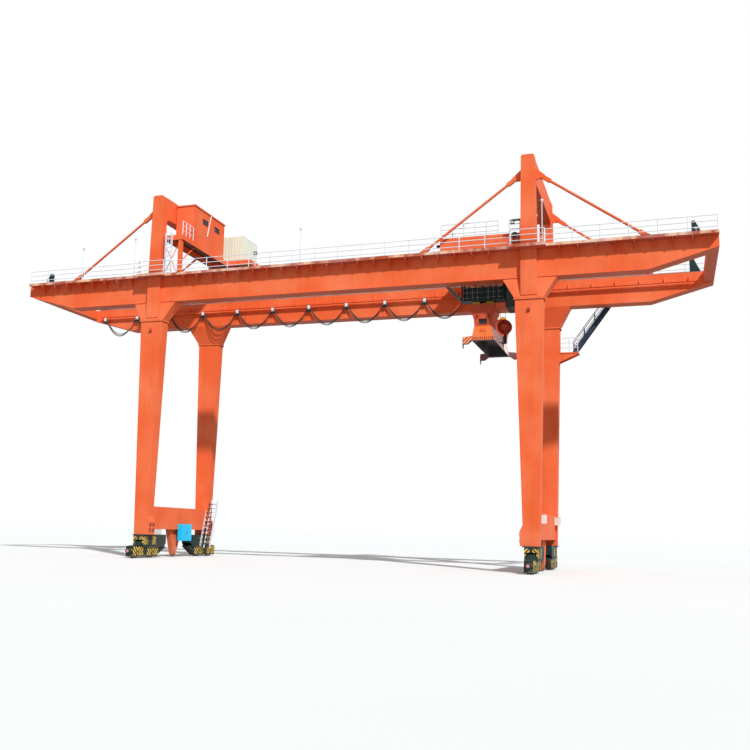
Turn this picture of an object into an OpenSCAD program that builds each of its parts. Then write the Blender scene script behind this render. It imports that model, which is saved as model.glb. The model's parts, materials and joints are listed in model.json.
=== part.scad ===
// Rail mounted container gantry crane, 1:2 scale model.
// X runs along the girders, Y along the gantry rails, Z is up from the ground.
// The origin is on the ground, midway between the four legs.

/* [Gantry] */
// Distance between the left and right leg centres
span = 12750; // [11000:50:15000]
// Length of each girder end beyond the leg centre
overhang = 5250; // [4600:50:6500]
// Distance between the front and rear leg centres
base = 4300; // [4100:20:5000]
// Height of the bolted flange on top of the legs
flange_z = 8000; // [7600:20:9000]
// Width of a leg under its flange
leg_top_w = 830; // [700:10:1000]
// Width of a leg at its foot
leg_bottom_w = 450; // [420:10:560]
// Depth of a leg along the gantry rails
leg_d = 400; // [380:10:440]
// Height of the underside of the legs
leg_bottom_z = 765; // [740:5:840]
// Thickness of each flange plate
flange_t = 25; // [15:1:40]
// Height of the sill beams
sill_h = 750; // [600:10:900]
// Width of the sill beams
sill_w = 400; // [320:10:430]
// Height of the underside of the sill beams
sill_z = 950; // [900:10:1100]

/* [Girders] */
// Height of the flared leg heads
head_h = 670; // [600:10:800]
// Width of a leg head under the girder
head_top_w = 1600; // [1300:20:1900]
// Width of each box girder
girder_w = 500; // [460:10:560]
// Height of each box girder
girder_h = 890; // [800:10:1000]
// Height of the girder at its tapered tip
tip_h = 355; // [300:5:450]
// Length of the tapered girder end
taper_len = 1900; // [1500:20:2400]
// Step from the leg's outer face back to the girder's outer web
girder_setback = 150; // [120:10:170]
// Lip of the girder's bottom plate beyond the outer web
lip_w = 25; // [10:1:40]
// Width of the beams that tie the girder tips together
end_beam_w = 300; // [200:10:400]

/* [Portals] */
// Width of a portal post at its base
post_base_w = 480; // [420:10:540]
// Width of a portal post at its top
post_top_w = 400; // [360:10:420]
// Depth of a portal post
post_d = 300; // [260:10:320]
// Height of the portal posts above the girders
post_h = 2940; // [2800:20:3300]
// Height of the portal cross beams
portal_beam_h = 750; // [600:10:850]
// Width of the portal cross beams
portal_beam_w = 340; // [260:10:360]
// Radius of the curved haunch under each cross beam end
haunch_r = 320; // [200:10:400]
// Diameter of the stay pipes
stay_d = 80; // [60:2:100]
// Distance from the right posts to the inner stay lugs
inner_stay_reach = 3300; // [3000:20:3800]
// Distance from the posts to the outer stay lugs
outer_stay_reach = 3350; // [3000:20:3800]

/* [Walkways] */
// Width of the walkway decks
walk_w = 300; // [260:10:400]
// Length of the wider landing that passes round each post
bay_l = 1060; // [800:20:1400]
// Height of the railings
rail_h = 500; // [440:10:560]
// Diameter of the railing pipes
rail_d = 24; // [18:1:30]
// Distance between railing posts
rail_pitch = 780; // [600:10:1000]
// Height of the lamp poles
lamp_h = 1200; // [900:20:1500]

/* [Trolley] */
// Place of the trolley's centre along the girders
trolley_x = 4850; // [4100:10:4900]
// Length of the trolley
trolley_l = 2500; // [2400:20:2700]
// Distance between the trolley rails
gauge = 3700; // [3600:10:3740]
// Height of the trolley rails
track_h = 60; // [40:2:80]
// Tread radius of the trolley wheels
trolley_wheel_r = 160; // [140:5:180]
// Height of the trolley deck above the girders
deck_h = 610; // [580:5:660]
// Width of the catwalk that hangs under the trolley
catwalk_w = 410; // [360:10:430]
// Height of the catwalk floor
catwalk_z = 8225; // [8200:5:8300]

/* [Spreader] */
// Length of the spreader
spreader_l = 3030; // [2900:10:3060]
// Width across the spreader's corner arms
spreader_w = 1220; // [1160:10:1280]
// Height of the spreader's underside
spreader_z = 6980; // [6900:10:7000]
// Height of the spreader's main beam
spreader_h = 440; // [400:10:460]
// Height of the rope towers on the spreader
tower_h = 700; // [640:10:720]
// Depth of each rope tower
tower_d = 720; // [640:10:760]
// Radius of the spreader's cable reel
reel_r = 230; // [200:5:240]

/* [Bogies] */
// Length of a bogie
bogie_l = 2080; // [2000:10:2140]
// Width of a bogie
bogie_w = 260; // [240:5:270]
// Distance between the two wheels of a bogie
wheel_base = 960; // [900:10:1000]
// Tread radius of the gantry wheels
wheel_r = 150; // [140:1:155]
// Height of the wheel flanges above the tread
wheel_flange = 25; // [15:1:28]
// Radius of the bogie's pivot pin
pivot_r = 45; // [35:1:55]

/* [House] */
// Length of the machinery house
house_l = 2380; // [2200:20:2460]
// Width of the machinery house
house_w = 720; // [600:10:800]
// Height of the machinery house
house_h = 1370; // [1200:10:1400]
// Height of the house floor above the girders
house_floor = 1490; // [1450:10:1540]
// Width of the electrical room
room_w = 920; // [800:10:960]
// Length of the electrical room
room_l = 1270; // [1000:10:1350]
// Height of the electrical room
room_h = 980; // [900:10:1100]

/* [Festoon] */
// Number of cable loops
loop_count = 10; // [8:1:12]
// Depth of each cable loop
loop_sag = 640; // [500:10:700]
// Distance from the left girder tip to the fixed cable end
festoon_inset = 775; // [700:5:900]

/* [Hidden] */
$fn = 48;

orange = [0.93, 0.36, 0.18];
pale = [0.86, 0.90, 0.94];
dark = [0.10, 0.14, 0.13];
yellow = [0.93, 0.70, 0.16];

run_gap = 0.3;
seat_gap = 0.05;
joint_gap = 0.5;
leg_x = span / 2;
leg_y = base / 2;
girder_len = span + 2 * overhang;
end_x = girder_len / 2;
outer_y = leg_y + leg_d / 2 - girder_setback;
inner_y = outer_y - girder_w;
girder_z = flange_z + head_h;
top_z = girder_z + girder_h;
leg_out_y = leg_y + leg_d / 2;
leg_in_y = leg_y - leg_d / 2;
post_in_y = leg_out_y - post_d;
post_top_z = top_z + post_h;
stay_y = (post_in_y + outer_y) / 2;
lip_t = 20;
lug_t = 50;
lug_h = 200;
stay_eye_r = 60;
stay_pin_r = 24;
ear_drop = 760;
ear_reach = 250;
walk_t = 40;
walk_y = outer_y + walk_w;
walk_x = [160 - end_x, end_x];
bay_y = leg_out_y + walk_w;
track_y = gauge / 2;
track_top_z = top_z + track_h;
deck_z = top_z + deck_h;
deck_t = 20;
carriage_w = 220;
trolley_y = track_y + carriage_w / 2;
carriage_in_y = track_y - carriage_w / 2;
buffer_l = 130;
stop_inset = 700;
floor_z = top_z + house_floor;
axle_z = wheel_r + wheel_flange;
pivot_z = 560;
festoon_z = girder_z + 480;
festoon_y = inner_y - 100;

module block(x, y, z) {
    translate([x[0], y[0], z[0]]) cube([x[1] - x[0], y[1] - y[0], z[1] - z[0]]);
}

// A profile drawn in X and Z, as deep as y
module prism_y(points, y) {
    translate([0, y[1], 0]) rotate([90, 0, 0]) linear_extrude(y[1] - y[0]) polygon(points);
}

// A profile drawn in Y and Z, as wide as x
module prism_x(points, x) {
    translate([x[0], 0, 0]) rotate([90, 0, 90]) linear_extrude(x[1] - x[0]) polygon(points);
}

module rod(a, b, d, sides = 8) {
    v = b - a;
    translate(a) rotate([0, acos(v.z / norm(v)), atan2(v.y, v.x)])
        cylinder(h = norm(v), d = d, $fn = sides);
}

module cylinder_x(r, x, sides = 48) {
    translate([x[0], 0, 0]) rotate([0, 90, 0]) cylinder(r = r, h = x[1] - x[0], $fn = sides);
}

module cylinder_y(r, y, sides = 48) {
    translate([0, y[0], 0]) rotate([-90, 0, 0]) cylinder(r = r, h = y[1] - y[0], $fn = sides);
}

module both_x() {
    children();
    mirror([1, 0, 0]) children();
}

module both_y() {
    children();
    mirror([0, 1, 0]) children();
}

function leg_w(z) =
    leg_bottom_w + (leg_top_w - leg_bottom_w) * (z - leg_bottom_z) / (flange_z - leg_bottom_z);

function post_w(z) = post_base_w + (post_top_w - post_base_w) * (z - top_z) / post_h;

// Girders

inner_lug_x = leg_x - inner_stay_reach;
outer_lug_x = leg_x + outer_stay_reach;

module stay_lug(x) {
    foot = 180;
    difference() {
        prism_y([[x - foot, top_z], [x + foot, top_z], [x + stay_eye_r, top_z + lug_h],
            [x - stay_eye_r, top_z + lug_h]], [stay_y - lug_t / 2, stay_y + lug_t / 2]);
        translate([x, 0, top_z + lug_h - stay_eye_r])
            cylinder_y(stay_pin_r + run_gap, [stay_y - lug_t, stay_y + lug_t]);
    }
}

module stay_lugs() {
    color(orange) both_y() {
        both_x() stay_lug(outer_lug_x);
        stay_lug(inner_lug_x);
    }
}

// A girder on the +Y side with the lip of its bottom plate
module girder() {
    tip_z = top_z - tip_h;
    low = [[-end_x, tip_z], [taper_len - end_x, girder_z],
        [end_x - taper_len, girder_z], [end_x, tip_z]];
    prism_y(concat(low, [[end_x, top_z], [-end_x, top_z]]), [inner_y, outer_y]);
    prism_y(concat(low, [for (i = [3:-1:0]) low[i] + [0, lip_t]]), [outer_y - 1, outer_y + lip_w]);
}

module front_girder() {
    color(orange) mirror([0, 1, 0]) girder();
}

module rear_girder() {
    color(orange) girder();
}

module end_beams() {
    color(orange) both_x() block([end_x - end_beam_w, end_x], [-inner_y, inner_y],
        [top_z - tip_h, top_z - 20]);
}

// Legs and sill

// Two legs of the +Y side, each with a thicker foot on the side that faces the yard
module leg_pair() {
    rim = 30;
    pad = 95;
    pad_z = leg_bottom_z + 405;
    pad_top_z = pad_z + 190;
    both_x() translate([leg_x, 0, 0]) {
        prism_y([[-leg_bottom_w / 2, leg_bottom_z], [leg_bottom_w / 2, leg_bottom_z],
            [leg_top_w / 2, flange_z], [-leg_top_w / 2, flange_z]], [leg_in_y, leg_out_y]);
        prism_y([[0, leg_bottom_z], [0, pad_top_z], [-leg_w(pad_top_z) / 2, pad_top_z],
            [-leg_w(pad_z) / 2 - pad, pad_z], [-leg_bottom_w / 2 - pad, leg_bottom_z]],
            [leg_in_y, leg_out_y]);
        block([-leg_top_w / 2 - rim, leg_top_w / 2 + rim], [leg_in_y - rim, leg_out_y + rim],
            [flange_z - flange_t, flange_z]);
    }
}

module front_legs() {
    color(orange) mirror([0, 1, 0]) leg_pair();
}

module rear_legs() {
    color(orange) leg_pair();
}

module leg_head() {
    rim = 30;
    seat_z = girder_z - seat_gap;
    intersection() {
        prism_y([[-leg_top_w / 2, flange_z], [leg_top_w / 2, flange_z],
            [head_top_w / 2, seat_z], [-head_top_w / 2, seat_z]], [0, base]);
        prism_x([[leg_in_y, flange_z], [leg_out_y, flange_z], [outer_y, seat_z],
            [inner_y, seat_z]], [-head_top_w, head_top_w]);
    }
    block([-post_base_w / 2, post_base_w / 2], [outer_y - 1, leg_out_y],
        [flange_z + head_h / 6, seat_z]);
    block([-leg_top_w / 2 - rim, leg_top_w / 2 + rim], [leg_in_y - rim, leg_out_y + rim],
        [flange_z, flange_z + flange_t]);
}

module leg_heads() {
    color(orange) both_x() both_y() translate([leg_x, 0, 0]) leg_head();
}

cheek_t = 40;
cheek_gap = 20;
cheek_x = bogie_w / 2 + cheek_gap;
foot_t = 30;

// A foot beam with two cheeks, end plates and the pin that a bogie rocks on
module leg_foot() {
    rim = 30;
    inner_end = leg_y - 1230;
    outer_end = leg_out_y + 70;
    rake = 120;
    end_t = 30;
    pin_end = 12;
    low_z = pivot_z - 200;
    foot_z = leg_bottom_z - foot_t;
    side_x = cheek_x + cheek_t;
    block([-leg_bottom_w / 2 - rim, leg_bottom_w / 2 + rim], [leg_in_y - rim, leg_out_y + rim],
        [foot_z, leg_bottom_z]);
    block([-side_x, side_x], [inner_end, outer_end], [foot_z, leg_bottom_z]);
    both_x() prism_x([[inner_end, foot_z + 1], [inner_end, low_z + rake], [inner_end + rake, low_z],
        [outer_end, low_z], [outer_end, foot_z + 1]], [cheek_x, side_x]);
    block([-side_x + 1, side_x - 1], [inner_end, inner_end + end_t], [low_z + rake, foot_z + 1]);
    block([-side_x + 1, side_x - 1], [outer_end - end_t, outer_end], [pivot_z + end_t, foot_z + 1]);
    translate([0, leg_y, pivot_z]) cylinder_x(pivot_r, [-side_x - pin_end, side_x + pin_end]);
}

module leg_feet() {
    color(dark) both_x() both_y() translate([leg_x, 0, 0]) leg_foot();
}

module sill_beams() {
    color(orange) both_x() block([leg_x - sill_w / 2, leg_x + sill_w / 2],
        [-leg_in_y, leg_in_y], [sill_z, sill_z + sill_h]);
}

module anchor_fins() {
    fin_y = -80;
    fin_t = 120;
    top_half = 400;
    tip_half = 70;
    tip_z = 100;
    color(orange) both_x() prism_x([[fin_y - top_half, sill_z], [fin_y - tip_half, tip_z],
        [fin_y + tip_half, tip_z], [fin_y + top_half, sill_z]], [leg_x - fin_t / 2, leg_x + fin_t / 2]);
}

// Portals and stays

ear_z = post_top_z - ear_drop;

// Stay ear on the +X side of a post
module ear() {
    root_h = 560;
    eye = [ear_reach + post_base_w / 2 - stay_eye_r, ear_z + stay_eye_r];
    difference() {
        prism_y([[0, ear_z], [eye.x + stay_eye_r, ear_z], [eye.x + stay_eye_r, eye.y + stay_eye_r],
            [0, ear_z + root_h]], [stay_y - lug_t / 2, stay_y + lug_t / 2]);
        translate([eye.x, 0, eye.y])
            cylinder_y(stay_pin_r + run_gap, [stay_y - lug_t, stay_y + lug_t]);
    }
}

// A post with rounded top corners and the pilaster that carries it down the girder's web
module post(inner_ear) {
    round_r = 70;
    corner = [for (a = [0:15:90]) [post_w(post_top_z - round_r) / 2 - round_r * (1 - cos(a)),
        post_top_z - round_r * (1 - sin(a))]];
    flip = [for (i = [len(corner) - 1:-1:0]) [-corner[i].x, corner[i].y]];
    prism_y(concat([[-post_base_w / 2, top_z], [post_base_w / 2, top_z]], corner, flip),
        [post_in_y, leg_out_y]);
    block([-post_base_w / 2, post_base_w / 2], [outer_y + lip_w, leg_out_y], [girder_z, top_z + 1]);
    block([-post_base_w / 2, post_base_w / 2], [outer_y, leg_out_y], [girder_z + lip_t, top_z + 1]);
    ear();
    if (inner_ear) mirror([1, 0, 0]) ear();
}

module portal_posts() {
    color(orange) both_y() {
        translate([leg_x, 0, 0]) post(true);
        translate([-leg_x, 0, 0]) mirror([1, 0, 0]) post(false);
    }
}

module portal_beams() {
    low = post_top_z - portal_beam_h;
    arc = [for (a = [0:15:90])
        [post_in_y - haunch_r * (1 - sin(a)), low - haunch_r * (1 - cos(a))]];
    right = [for (p = arc) p];
    left = [for (i = [len(arc) - 1:-1:0]) [-arc[i].x, arc[i].y]];
    color(orange) both_x() prism_x(concat(left, right,
        [[post_in_y, low + portal_beam_h], [-post_in_y, low + portal_beam_h]]),
        [leg_x - portal_beam_w / 2, leg_x + portal_beam_w / 2]);
}

// One stay with a pinned fork on each end, in the plane of the lugs
module stay(a, b) {
    tilt = atan2(b.y - a.y, b.x - a.x);
    length = norm(b - a);
    fork_t = 20;
    fork_l = 200;
    fork_y = lug_t / 2 + 2;
    translate([a.x, stay_y, a.y]) rotate([0, -tilt, 0]) {
        rod([fork_l, 0, 0], [length - fork_l, 0, 0], stay_d, 24);
        for (end = [0, length]) translate([end, 0, 0]) rotate([0, end == 0 ? 0 : 180, 0]) {
            both_y() difference() {
                block([-stay_eye_r, fork_l + 60], [fork_y, fork_y + fork_t], [-stay_eye_r, stay_eye_r]);
                cylinder_y(stay_pin_r, [0, fork_y + 2 * fork_t]);
            }
            block([fork_l - 60, fork_l + 60], [-fork_y - fork_t, fork_y + fork_t],
                [-stay_eye_r, stay_eye_r]);
            cylinder_y(stay_pin_r, [-fork_y - fork_t - 10, fork_y + fork_t + 10]);
        }
    }
}

module stays() {
    eye_x = ear_reach + post_base_w / 2 - stay_eye_r;
    eye_z = ear_z + stay_eye_r;
    lug_z = top_z + lug_h - stay_eye_r;
    color(orange) both_y() {
        both_x() stay([leg_x + eye_x, eye_z], [outer_lug_x, lug_z]);
        stay([leg_x - eye_x, eye_z], [inner_lug_x, lug_z]);
    }
}

// Walkways and railings

// Deck sections with fascias: two tips, a landing round each post and the long middle
module walkway() {
    slot_w = post_base_w / 2 + 10;
    slot_y = leg_out_y + 10;
    fascia_t = 14;
    fascia_z = [top_z - walk_t, top_z + 50];
    bracket_pitch = 2 * rail_pitch;
    bracket_t = 16;
    root_drop = 300;
    nose_drop = 100;
    difference() {
        union() {
            block(walk_x, [outer_y, walk_y], [top_z - walk_t, top_z]);
            block(walk_x, [walk_y - fascia_t, walk_y], fascia_z);
            both_x() translate([leg_x, 0, 0]) {
                block([-bay_l / 2, bay_l / 2], [outer_y, bay_y], [top_z - walk_t, top_z]);
                block([-bay_l / 2, bay_l / 2], [bay_y - fascia_t, bay_y], fascia_z);
                both_x() block([bay_l / 2 - fascia_t, bay_l / 2], [walk_y - 1, bay_y], fascia_z);
            }
        }
        both_x() translate([leg_x, 0, 0]) {
            block([-slot_w, slot_w], [outer_y - 1, slot_y], [top_z - 200, top_z + 200]);
            block([fascia_t - bay_l / 2, bay_l / 2 - fascia_t], [walk_y - 2 * fascia_t, bay_y - fascia_t],
                [top_z, top_z + 200]);
            both_x() block([bay_l / 2, bay_l / 2 + joint_gap], [outer_y - 1, bay_y],
                [top_z - 200, top_z + 200]);
        }
    }
    for (i = [0:floor((end_x - 400) / bracket_pitch)]) both_x()
        if (abs(i * bracket_pitch - leg_x) > head_top_w / 2) translate([i * bracket_pitch, 0, 0])
            prism_x([[outer_y, top_z - walk_t], [walk_y - fascia_t, top_z - walk_t],
                [walk_y - fascia_t, top_z - nose_drop], [outer_y, top_z - root_drop]], [0, bracket_t]);
}

module front_walkway() {
    color(orange) mirror([0, 1, 0]) walkway();
}

module rear_walkway() {
    color(orange) walkway();
}

// Railing along a list of plan points: posts at the corners and at each pitch, with three rails
module railing(path, z, height, pitch) {
    for (i = [0:len(path) - 2]) {
        a = path[i];
        b = path[i + 1];
        count = max(1, round(norm(b - a) / pitch));
        for (k = [1:3]) rod([a.x, a.y, z + k * height / 3 - rail_d / 2],
            [b.x, b.y, z + k * height / 3 - rail_d / 2], rail_d);
        for (k = [(i == 0 ? 0 : 1):count]) let (p = a + (b - a) * k / count)
            translate([p.x, p.y, z]) rotate(22.5) cylinder(d = rail_d + 4, h = height, $fn = 8);
    }
}

rail_inset = 30;

function railing_path(y1, y2) = let (x = bay_l / 2 - rail_inset) [
    for (side = [-1, 1], p = [[-x, y1], [-x, y2], [x, y2], [x, y1]])
        [side * leg_x + p.x, p.y]];

module long_railing() {
    y = walk_y - rail_inset;
    path = concat([[walk_x[0] + rail_inset, y]], railing_path(y, bay_y - rail_inset),
        [[walk_x[1] - rail_inset, y]]);
    railing(path, top_z, rail_h, rail_pitch);
}

module front_railing() {
    color(pale) mirror([0, 1, 0]) long_railing();
}

module rear_railing() {
    color(pale) long_railing();
}

lamp_y = 110 - walk_y;
flood = [200, 100, 150];

module floodlight_head() {
    prism_x([[-flood.y / 2, 0], [flood.y / 2, 0], [flood.y / 2, flood.z * 0.75],
        [flood.y / 4, flood.z], [-flood.y / 2, flood.z * 0.85]], [-flood.x / 2, flood.x / 2]);
}

// Lamp poles along the front walkway, and floodlights on short stems and on the right post
module lamp_poles() {
    pole_d = 26;
    foot_r = 50;
    foot_t = 12;
    by_post = 190;
    clamp = 40;
    clamp_z = top_z + 890;
    arm_x = [leg_x - post_w(clamp_z) / 2 - 256, leg_x - post_w(clamp_z) / 2];
    arm_y = flood.y - leg_out_y;
    poles = [[-leg_x - 2925, 0], [-leg_x - bay_l / 2 - 265, by_post], [0.426 * span - leg_x, 0],
        [leg_x + bay_l / 2 - 115, by_post]];
    floods = [[915 - end_x, lamp_y, 110], [-0.4 * leg_x, lamp_y, 470], [end_x - 595, lamp_y, 130],
        [end_x - 485, -lamp_y, 270]];
    color(pale) {
        for (p = poles) translate([p[0], lamp_y, top_z]) {
            cylinder(d = pole_d, h = lamp_h + p[1], $fn = 12);
            cylinder(r = foot_r, h = foot_t, $fn = 12);
            translate([0, 0, lamp_h + p[1] - 40]) cylinder(r1 = pole_d / 2, r2 = 45, h = 90, $fn = 24);
        }
        for (p = floods) translate([p[0], p[1], top_z]) {
            cylinder(d = pole_d, h = p[2] + 1, $fn = 12);
            cylinder(r = foot_r, h = foot_t, $fn = 12);
            translate([0, 0, p[2]]) floodlight_head();
        }
        translate([arm_x[0], arm_y, clamp_z - flood.z / 2]) floodlight_head();
        prism_y([[arm_x[0], clamp_z], [arm_x[1], clamp_z],
            [leg_x - post_w(clamp_z + clamp) / 2, clamp_z + clamp], [arm_x[0], clamp_z + clamp]],
            [arm_y - clamp / 2, arm_y + clamp / 2]);
    }
}

module trolley_rails() {
    inset = 300;
    half_w = 30;
    color("dimgray") both_y() block([inset - end_x, end_x - inset],
        [track_y - half_w, track_y + half_w], [top_z, track_top_z]);
}

stop_x = end_x - stop_inset;

module end_stops() {
    foot = 320;
    head = 90;
    half_w = 60;
    stop_z = deck_z - 60;
    color(dark) both_x() both_y() prism_y([[stop_x, track_top_z], [stop_x + foot, track_top_z],
        [stop_x + head, stop_z], [stop_x, stop_z]], [track_y - half_w, track_y + half_w]);
}

// Machinery house on the left portal

house_x = portal_beam_w / 2 + 30 - leg_x;
house_y = -1355;
platform_t = 180;
prop_w = 130;
room_x = house_x + 460;
room_y = house_y + house_l + 335;
platform_x = [post_base_w / 2 - leg_x, house_x + house_w + 40, room_x + room_w + 380];
platform_y = [-outer_y, bay_y + 40];
prop_x = house_x + house_w - 75;

module machine_house() {
    roof_t = 40;
    window = [390, 200];
    recess = 25;
    sill = floor_z + house_h * 0.62;
    color(orange) difference() {
        union() {
            block([house_x, house_x + house_w], [house_y, house_y + house_l],
                [floor_z, floor_z + house_h - roof_t]);
            block([house_x - 20, house_x + house_w + 30], [house_y - 30, house_y + house_l + 30],
                [floor_z + house_h - roof_t, floor_z + house_h]);
        }
        for (y = [house_y + house_l * 0.347, house_y + house_l * 0.742])
            block([house_x + house_w - recess, house_x + house_w + 1],
                [y - window.x / 2, y + window.x / 2], [sill, sill + window.y]);
    }
}

// A plate on a frame of beams, wider where it carries the electrical room
module house_platform() {
    beam_w = 120;
    plate_t = 20;
    beam_z = [floor_z - platform_t, floor_z - plate_t + 1];
    wide_y = [room_y - 100, platform_y[1]];
    color(orange) {
        block([platform_x[0], platform_x[1]], platform_y, [floor_z - plate_t, floor_z]);
        block([platform_x[1] - 1, platform_x[2]], wide_y, [floor_z - plate_t, floor_z]);
        for (x = [platform_x[0], platform_x[1] - beam_w])
            block([x, x + beam_w], platform_y, beam_z);
        block([prop_x - prop_w / 2, prop_x + prop_w / 2], platform_y, beam_z);
        block([platform_x[2] - beam_w, platform_x[2]], wide_y, beam_z);
        block([platform_x[0], platform_x[1]], [platform_y[0], platform_y[0] + beam_w], beam_z);
        for (y = [wide_y[0], wide_y[1] - beam_w])
            block([platform_x[0], platform_x[2]], [y, y + beam_w], beam_z);
    }
}

module house_posts() {
    foot_y = [post_in_y, post_in_y + prop_w];
    color(orange) both_y() block([prop_x - prop_w / 2, prop_x + prop_w / 2], foot_y,
        [top_z, floor_z - platform_t]);
}

module ladder(width, height, step = 150, rail = 26) {
    both_x() block([width / 2 - rail, width / 2], [-rail, rail], [0, height]);
    for (z = [step:step:height - 30]) translate([0, 0, z])
        cylinder_x(10, [-width / 2 + rail / 2, width / 2 - rail / 2], 8);
}

// Ladder to the house platform, and the railing of the landing before the house
module house_ladder() {
    width = 250;
    stand = 30;
    above = 60;
    rail_x = platform_x[1] - rail_inset;
    ladder_x = platform_x[0] + 205;
    color(pale) {
        translate([ladder_x, -outer_y - stand, top_z]) ladder(width, house_floor + above);
        railing([[rail_x, platform_y[0] + rail_inset], [rail_x, house_y - 2 * rail_inset]],
            floor_z, rail_h, 300);
    }
}

module electrical_room() {
    rib = 16;
    pitch = 60;
    count = floor(room_w / pitch);
    side_count = floor(room_l / pitch);
    color([0.90, 0.88, 0.78]) {
        block([room_x, room_x + room_w], [room_y, room_y + room_l], [floor_z, floor_z + room_h]);
        for (i = [0:count - 1]) block([room_x + (i + 0.25) * pitch, room_x + (i + 0.75) * pitch],
            [room_y - rib, room_y + 1], [floor_z + 60, floor_z + room_h - 60]);
        for (i = [0:side_count - 1]) block([room_x + room_w - 1, room_x + room_w + rib],
            [room_y + (i + 0.25) * pitch, room_y + (i + 0.75) * pitch],
            [floor_z + 60, floor_z + room_h - 60]);
    }
}

// Festoon on the inner face of the rear girder

carrier_l = 130;
tow_x = trolley_x - trolley_l / 2 + 80;
anchor_x = festoon_inset - end_x;
loop_pitch = (tow_x - anchor_x) / loop_count;
track_bottom_z = festoon_z;
track_half_w = 30;
carrier_top_z = track_bottom_z - run_gap;
saddle_w = 90;
saddle_top_z = carrier_top_z - 60;
saddle_z = saddle_top_z - 90;
tow_y = festoon_y - saddle_w / 2 - 75;

// A rolled beam on brackets
module festoon_track() {
    height = 90;
    flange = 10;
    web = 7;
    bracket_pitch = 750;
    bracket_w = 40;
    knee = [30, 200];
    z0 = track_bottom_z;
    track_top = z0 + height;
    bracket_y = festoon_y - track_half_w;
    end_clear = end_beam_w + 200;
    half_i = [[web, z0 + flange], [web, z0 + height - flange], [track_half_w, z0 + height - flange],
        [track_half_w, z0 + height]];
    outline = concat([[-track_half_w, z0], [track_half_w, z0], [track_half_w, z0 + flange]], half_i,
        [for (i = [3:-1:0]) [-half_i[i].x, half_i[i].y]], [[-track_half_w, z0 + flange]]);
    color(orange) {
        translate([0, festoon_y, 0]) prism_x(outline, [anchor_x - 200, end_x - end_clear]);
        for (x = [anchor_x:bracket_pitch:end_x - end_clear - bracket_w])
            prism_x([[bracket_y, track_top - 1], [inner_y, track_top - 1], [inner_y, track_top + knee[1]],
                [bracket_y, track_top + knee[0]]], [x - bracket_w / 2, x + bracket_w / 2]);
    }
}

module festoon_carriers() {
    color(dark) for (i = [0:loop_count - 1]) translate([anchor_x + i * loop_pitch, festoon_y, 0]) {
        block([-carrier_l / 2, carrier_l / 2], [-saddle_w / 2, saddle_w / 2], [saddle_z, saddle_top_z]);
        block([-30, 30], [-20, 20], [saddle_top_z - 1, carrier_top_z]);
    }
}

// A flat bundle of cables that hangs in a parabola between two carriers
module cable_loop(x0, x1) {
    band = 26;
    steps = 12;
    z0 = saddle_top_z - band;
    curve = [for (i = [0:steps]) let (t = i / steps)
        [x0 + (x1 - x0) * t, z0 - 4 * loop_sag * t * (1 - t)]];
    back = [for (i = [steps:-1:0]) curve[i] + [0, band]];
    prism_y(concat(curve, back), [festoon_y - 35, festoon_y + 35]);
}

module festoon_cables() {
    color([0.08, 0.08, 0.10]) for (i = [0:loop_count - 1])
        cable_loop(anchor_x + i * loop_pitch + carrier_l / 2,
            anchor_x + (i + 1) * loop_pitch - carrier_l / 2);
}

// Access

landing_z = 7150;
landing_x = [leg_x + leg_w(landing_z) / 2 + seat_gap, leg_x + 1020];
landing_y = [leg_in_y, walk_y + 10];
stair_w = 260;

module access_landing() {
    plate_t = 30;
    bracket_t = 30;
    top = landing_z - plate_t + 1;
    root = landing_z - 330;
    nose = landing_z - 80;
    color(orange) {
        block(landing_x, landing_y, [landing_z - plate_t, landing_z]);
        for (y = [leg_in_y + 20, leg_out_y - 50])
            prism_y([[leg_x + leg_w(top) / 2 + seat_gap, top], [landing_x[1] - 60, top],
                [landing_x[1] - 60, nose], [leg_x + leg_w(root) / 2 + seat_gap, root]], [y, y + bracket_t]);
        railing([[landing_x[0] + 60, landing_y[0] + 20], [landing_x[1] - 20, landing_y[0] + 20]],
            landing_z, rail_h, 300);
    }
}

module access_stair() {
    rise = top_z - walk_t - landing_z;
    run = rise / tan(54);
    steps = 14;
    x0 = landing_x[1] - 260;
    y0 = outer_y + lip_w + 15;
    color([0.16, 0.22, 0.30]) {
        for (y = [y0, y0 + stair_w - 30])
            prism_y([[x0, landing_z], [x0 + 160, landing_z], [x0 + 160 + run, landing_z + rise],
                [x0 + run, landing_z + rise]], [y, y + 30]);
        for (i = [1:steps - 1]) let (t = i / steps)
            block([x0 + t * run, x0 + t * run + 150], [y0 + 10, y0 + stair_w - 10],
                [landing_z + t * rise, landing_z + t * rise + 12]);
    }
}

module leg_ladder() {
    stand = 60;
    low_z = 1800;
    color(orange) translate([leg_x, leg_out_y + stand, low_z]) {
        ladder(240, landing_z + rail_h - low_z, 150);
        for (z = [300:900:landing_z - low_z - 500]) both_x()
            block([120 - 26, 120], [-stand, 1], [z, z + 30]);
    }
}

// A steep ladder along the left sill, up to the rear leg
module sill_ladder() {
    width = 260;
    rail = [30, 40];
    rungs = 9;
    face_x = sill_w / 2 - leg_x;
    near_x = face_x + 140;
    low = [leg_in_y - 350, 310];
    high = [leg_in_y + 180, 2080];
    color(pale) {
        for (x = [near_x, near_x + width - rail[0]])
            prism_x([low, low + [rail[1], 0], high + [rail[1], 0], high], [x, x + rail[0]]);
        for (i = [1:rungs - 1]) let (p = low + (high - low) * i / rungs)
            block([near_x + 10, near_x + width - 10], [p.x, p.x + rail[1]], [p.y, p.y + 12]);
        for (z = [sill_z + 80, sill_z + 320])
            let (y = low.x + (high.x - low.x) * (z - low.y) / (high.y - low.y))
                block([face_x, near_x + 1], [y, y + rail[1]], [z, z + 20]);
    }
}

module blue_cabinet() {
    face_x = sill_w / 2 - leg_x;
    size = [160, 730, 580];
    y = -130;
    color([0.05, 0.55, 0.88]) block([face_x, face_x + size.x], [y, y + size.y],
        [sill_z + 190 - size.z, sill_z + 190]);
}

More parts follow.
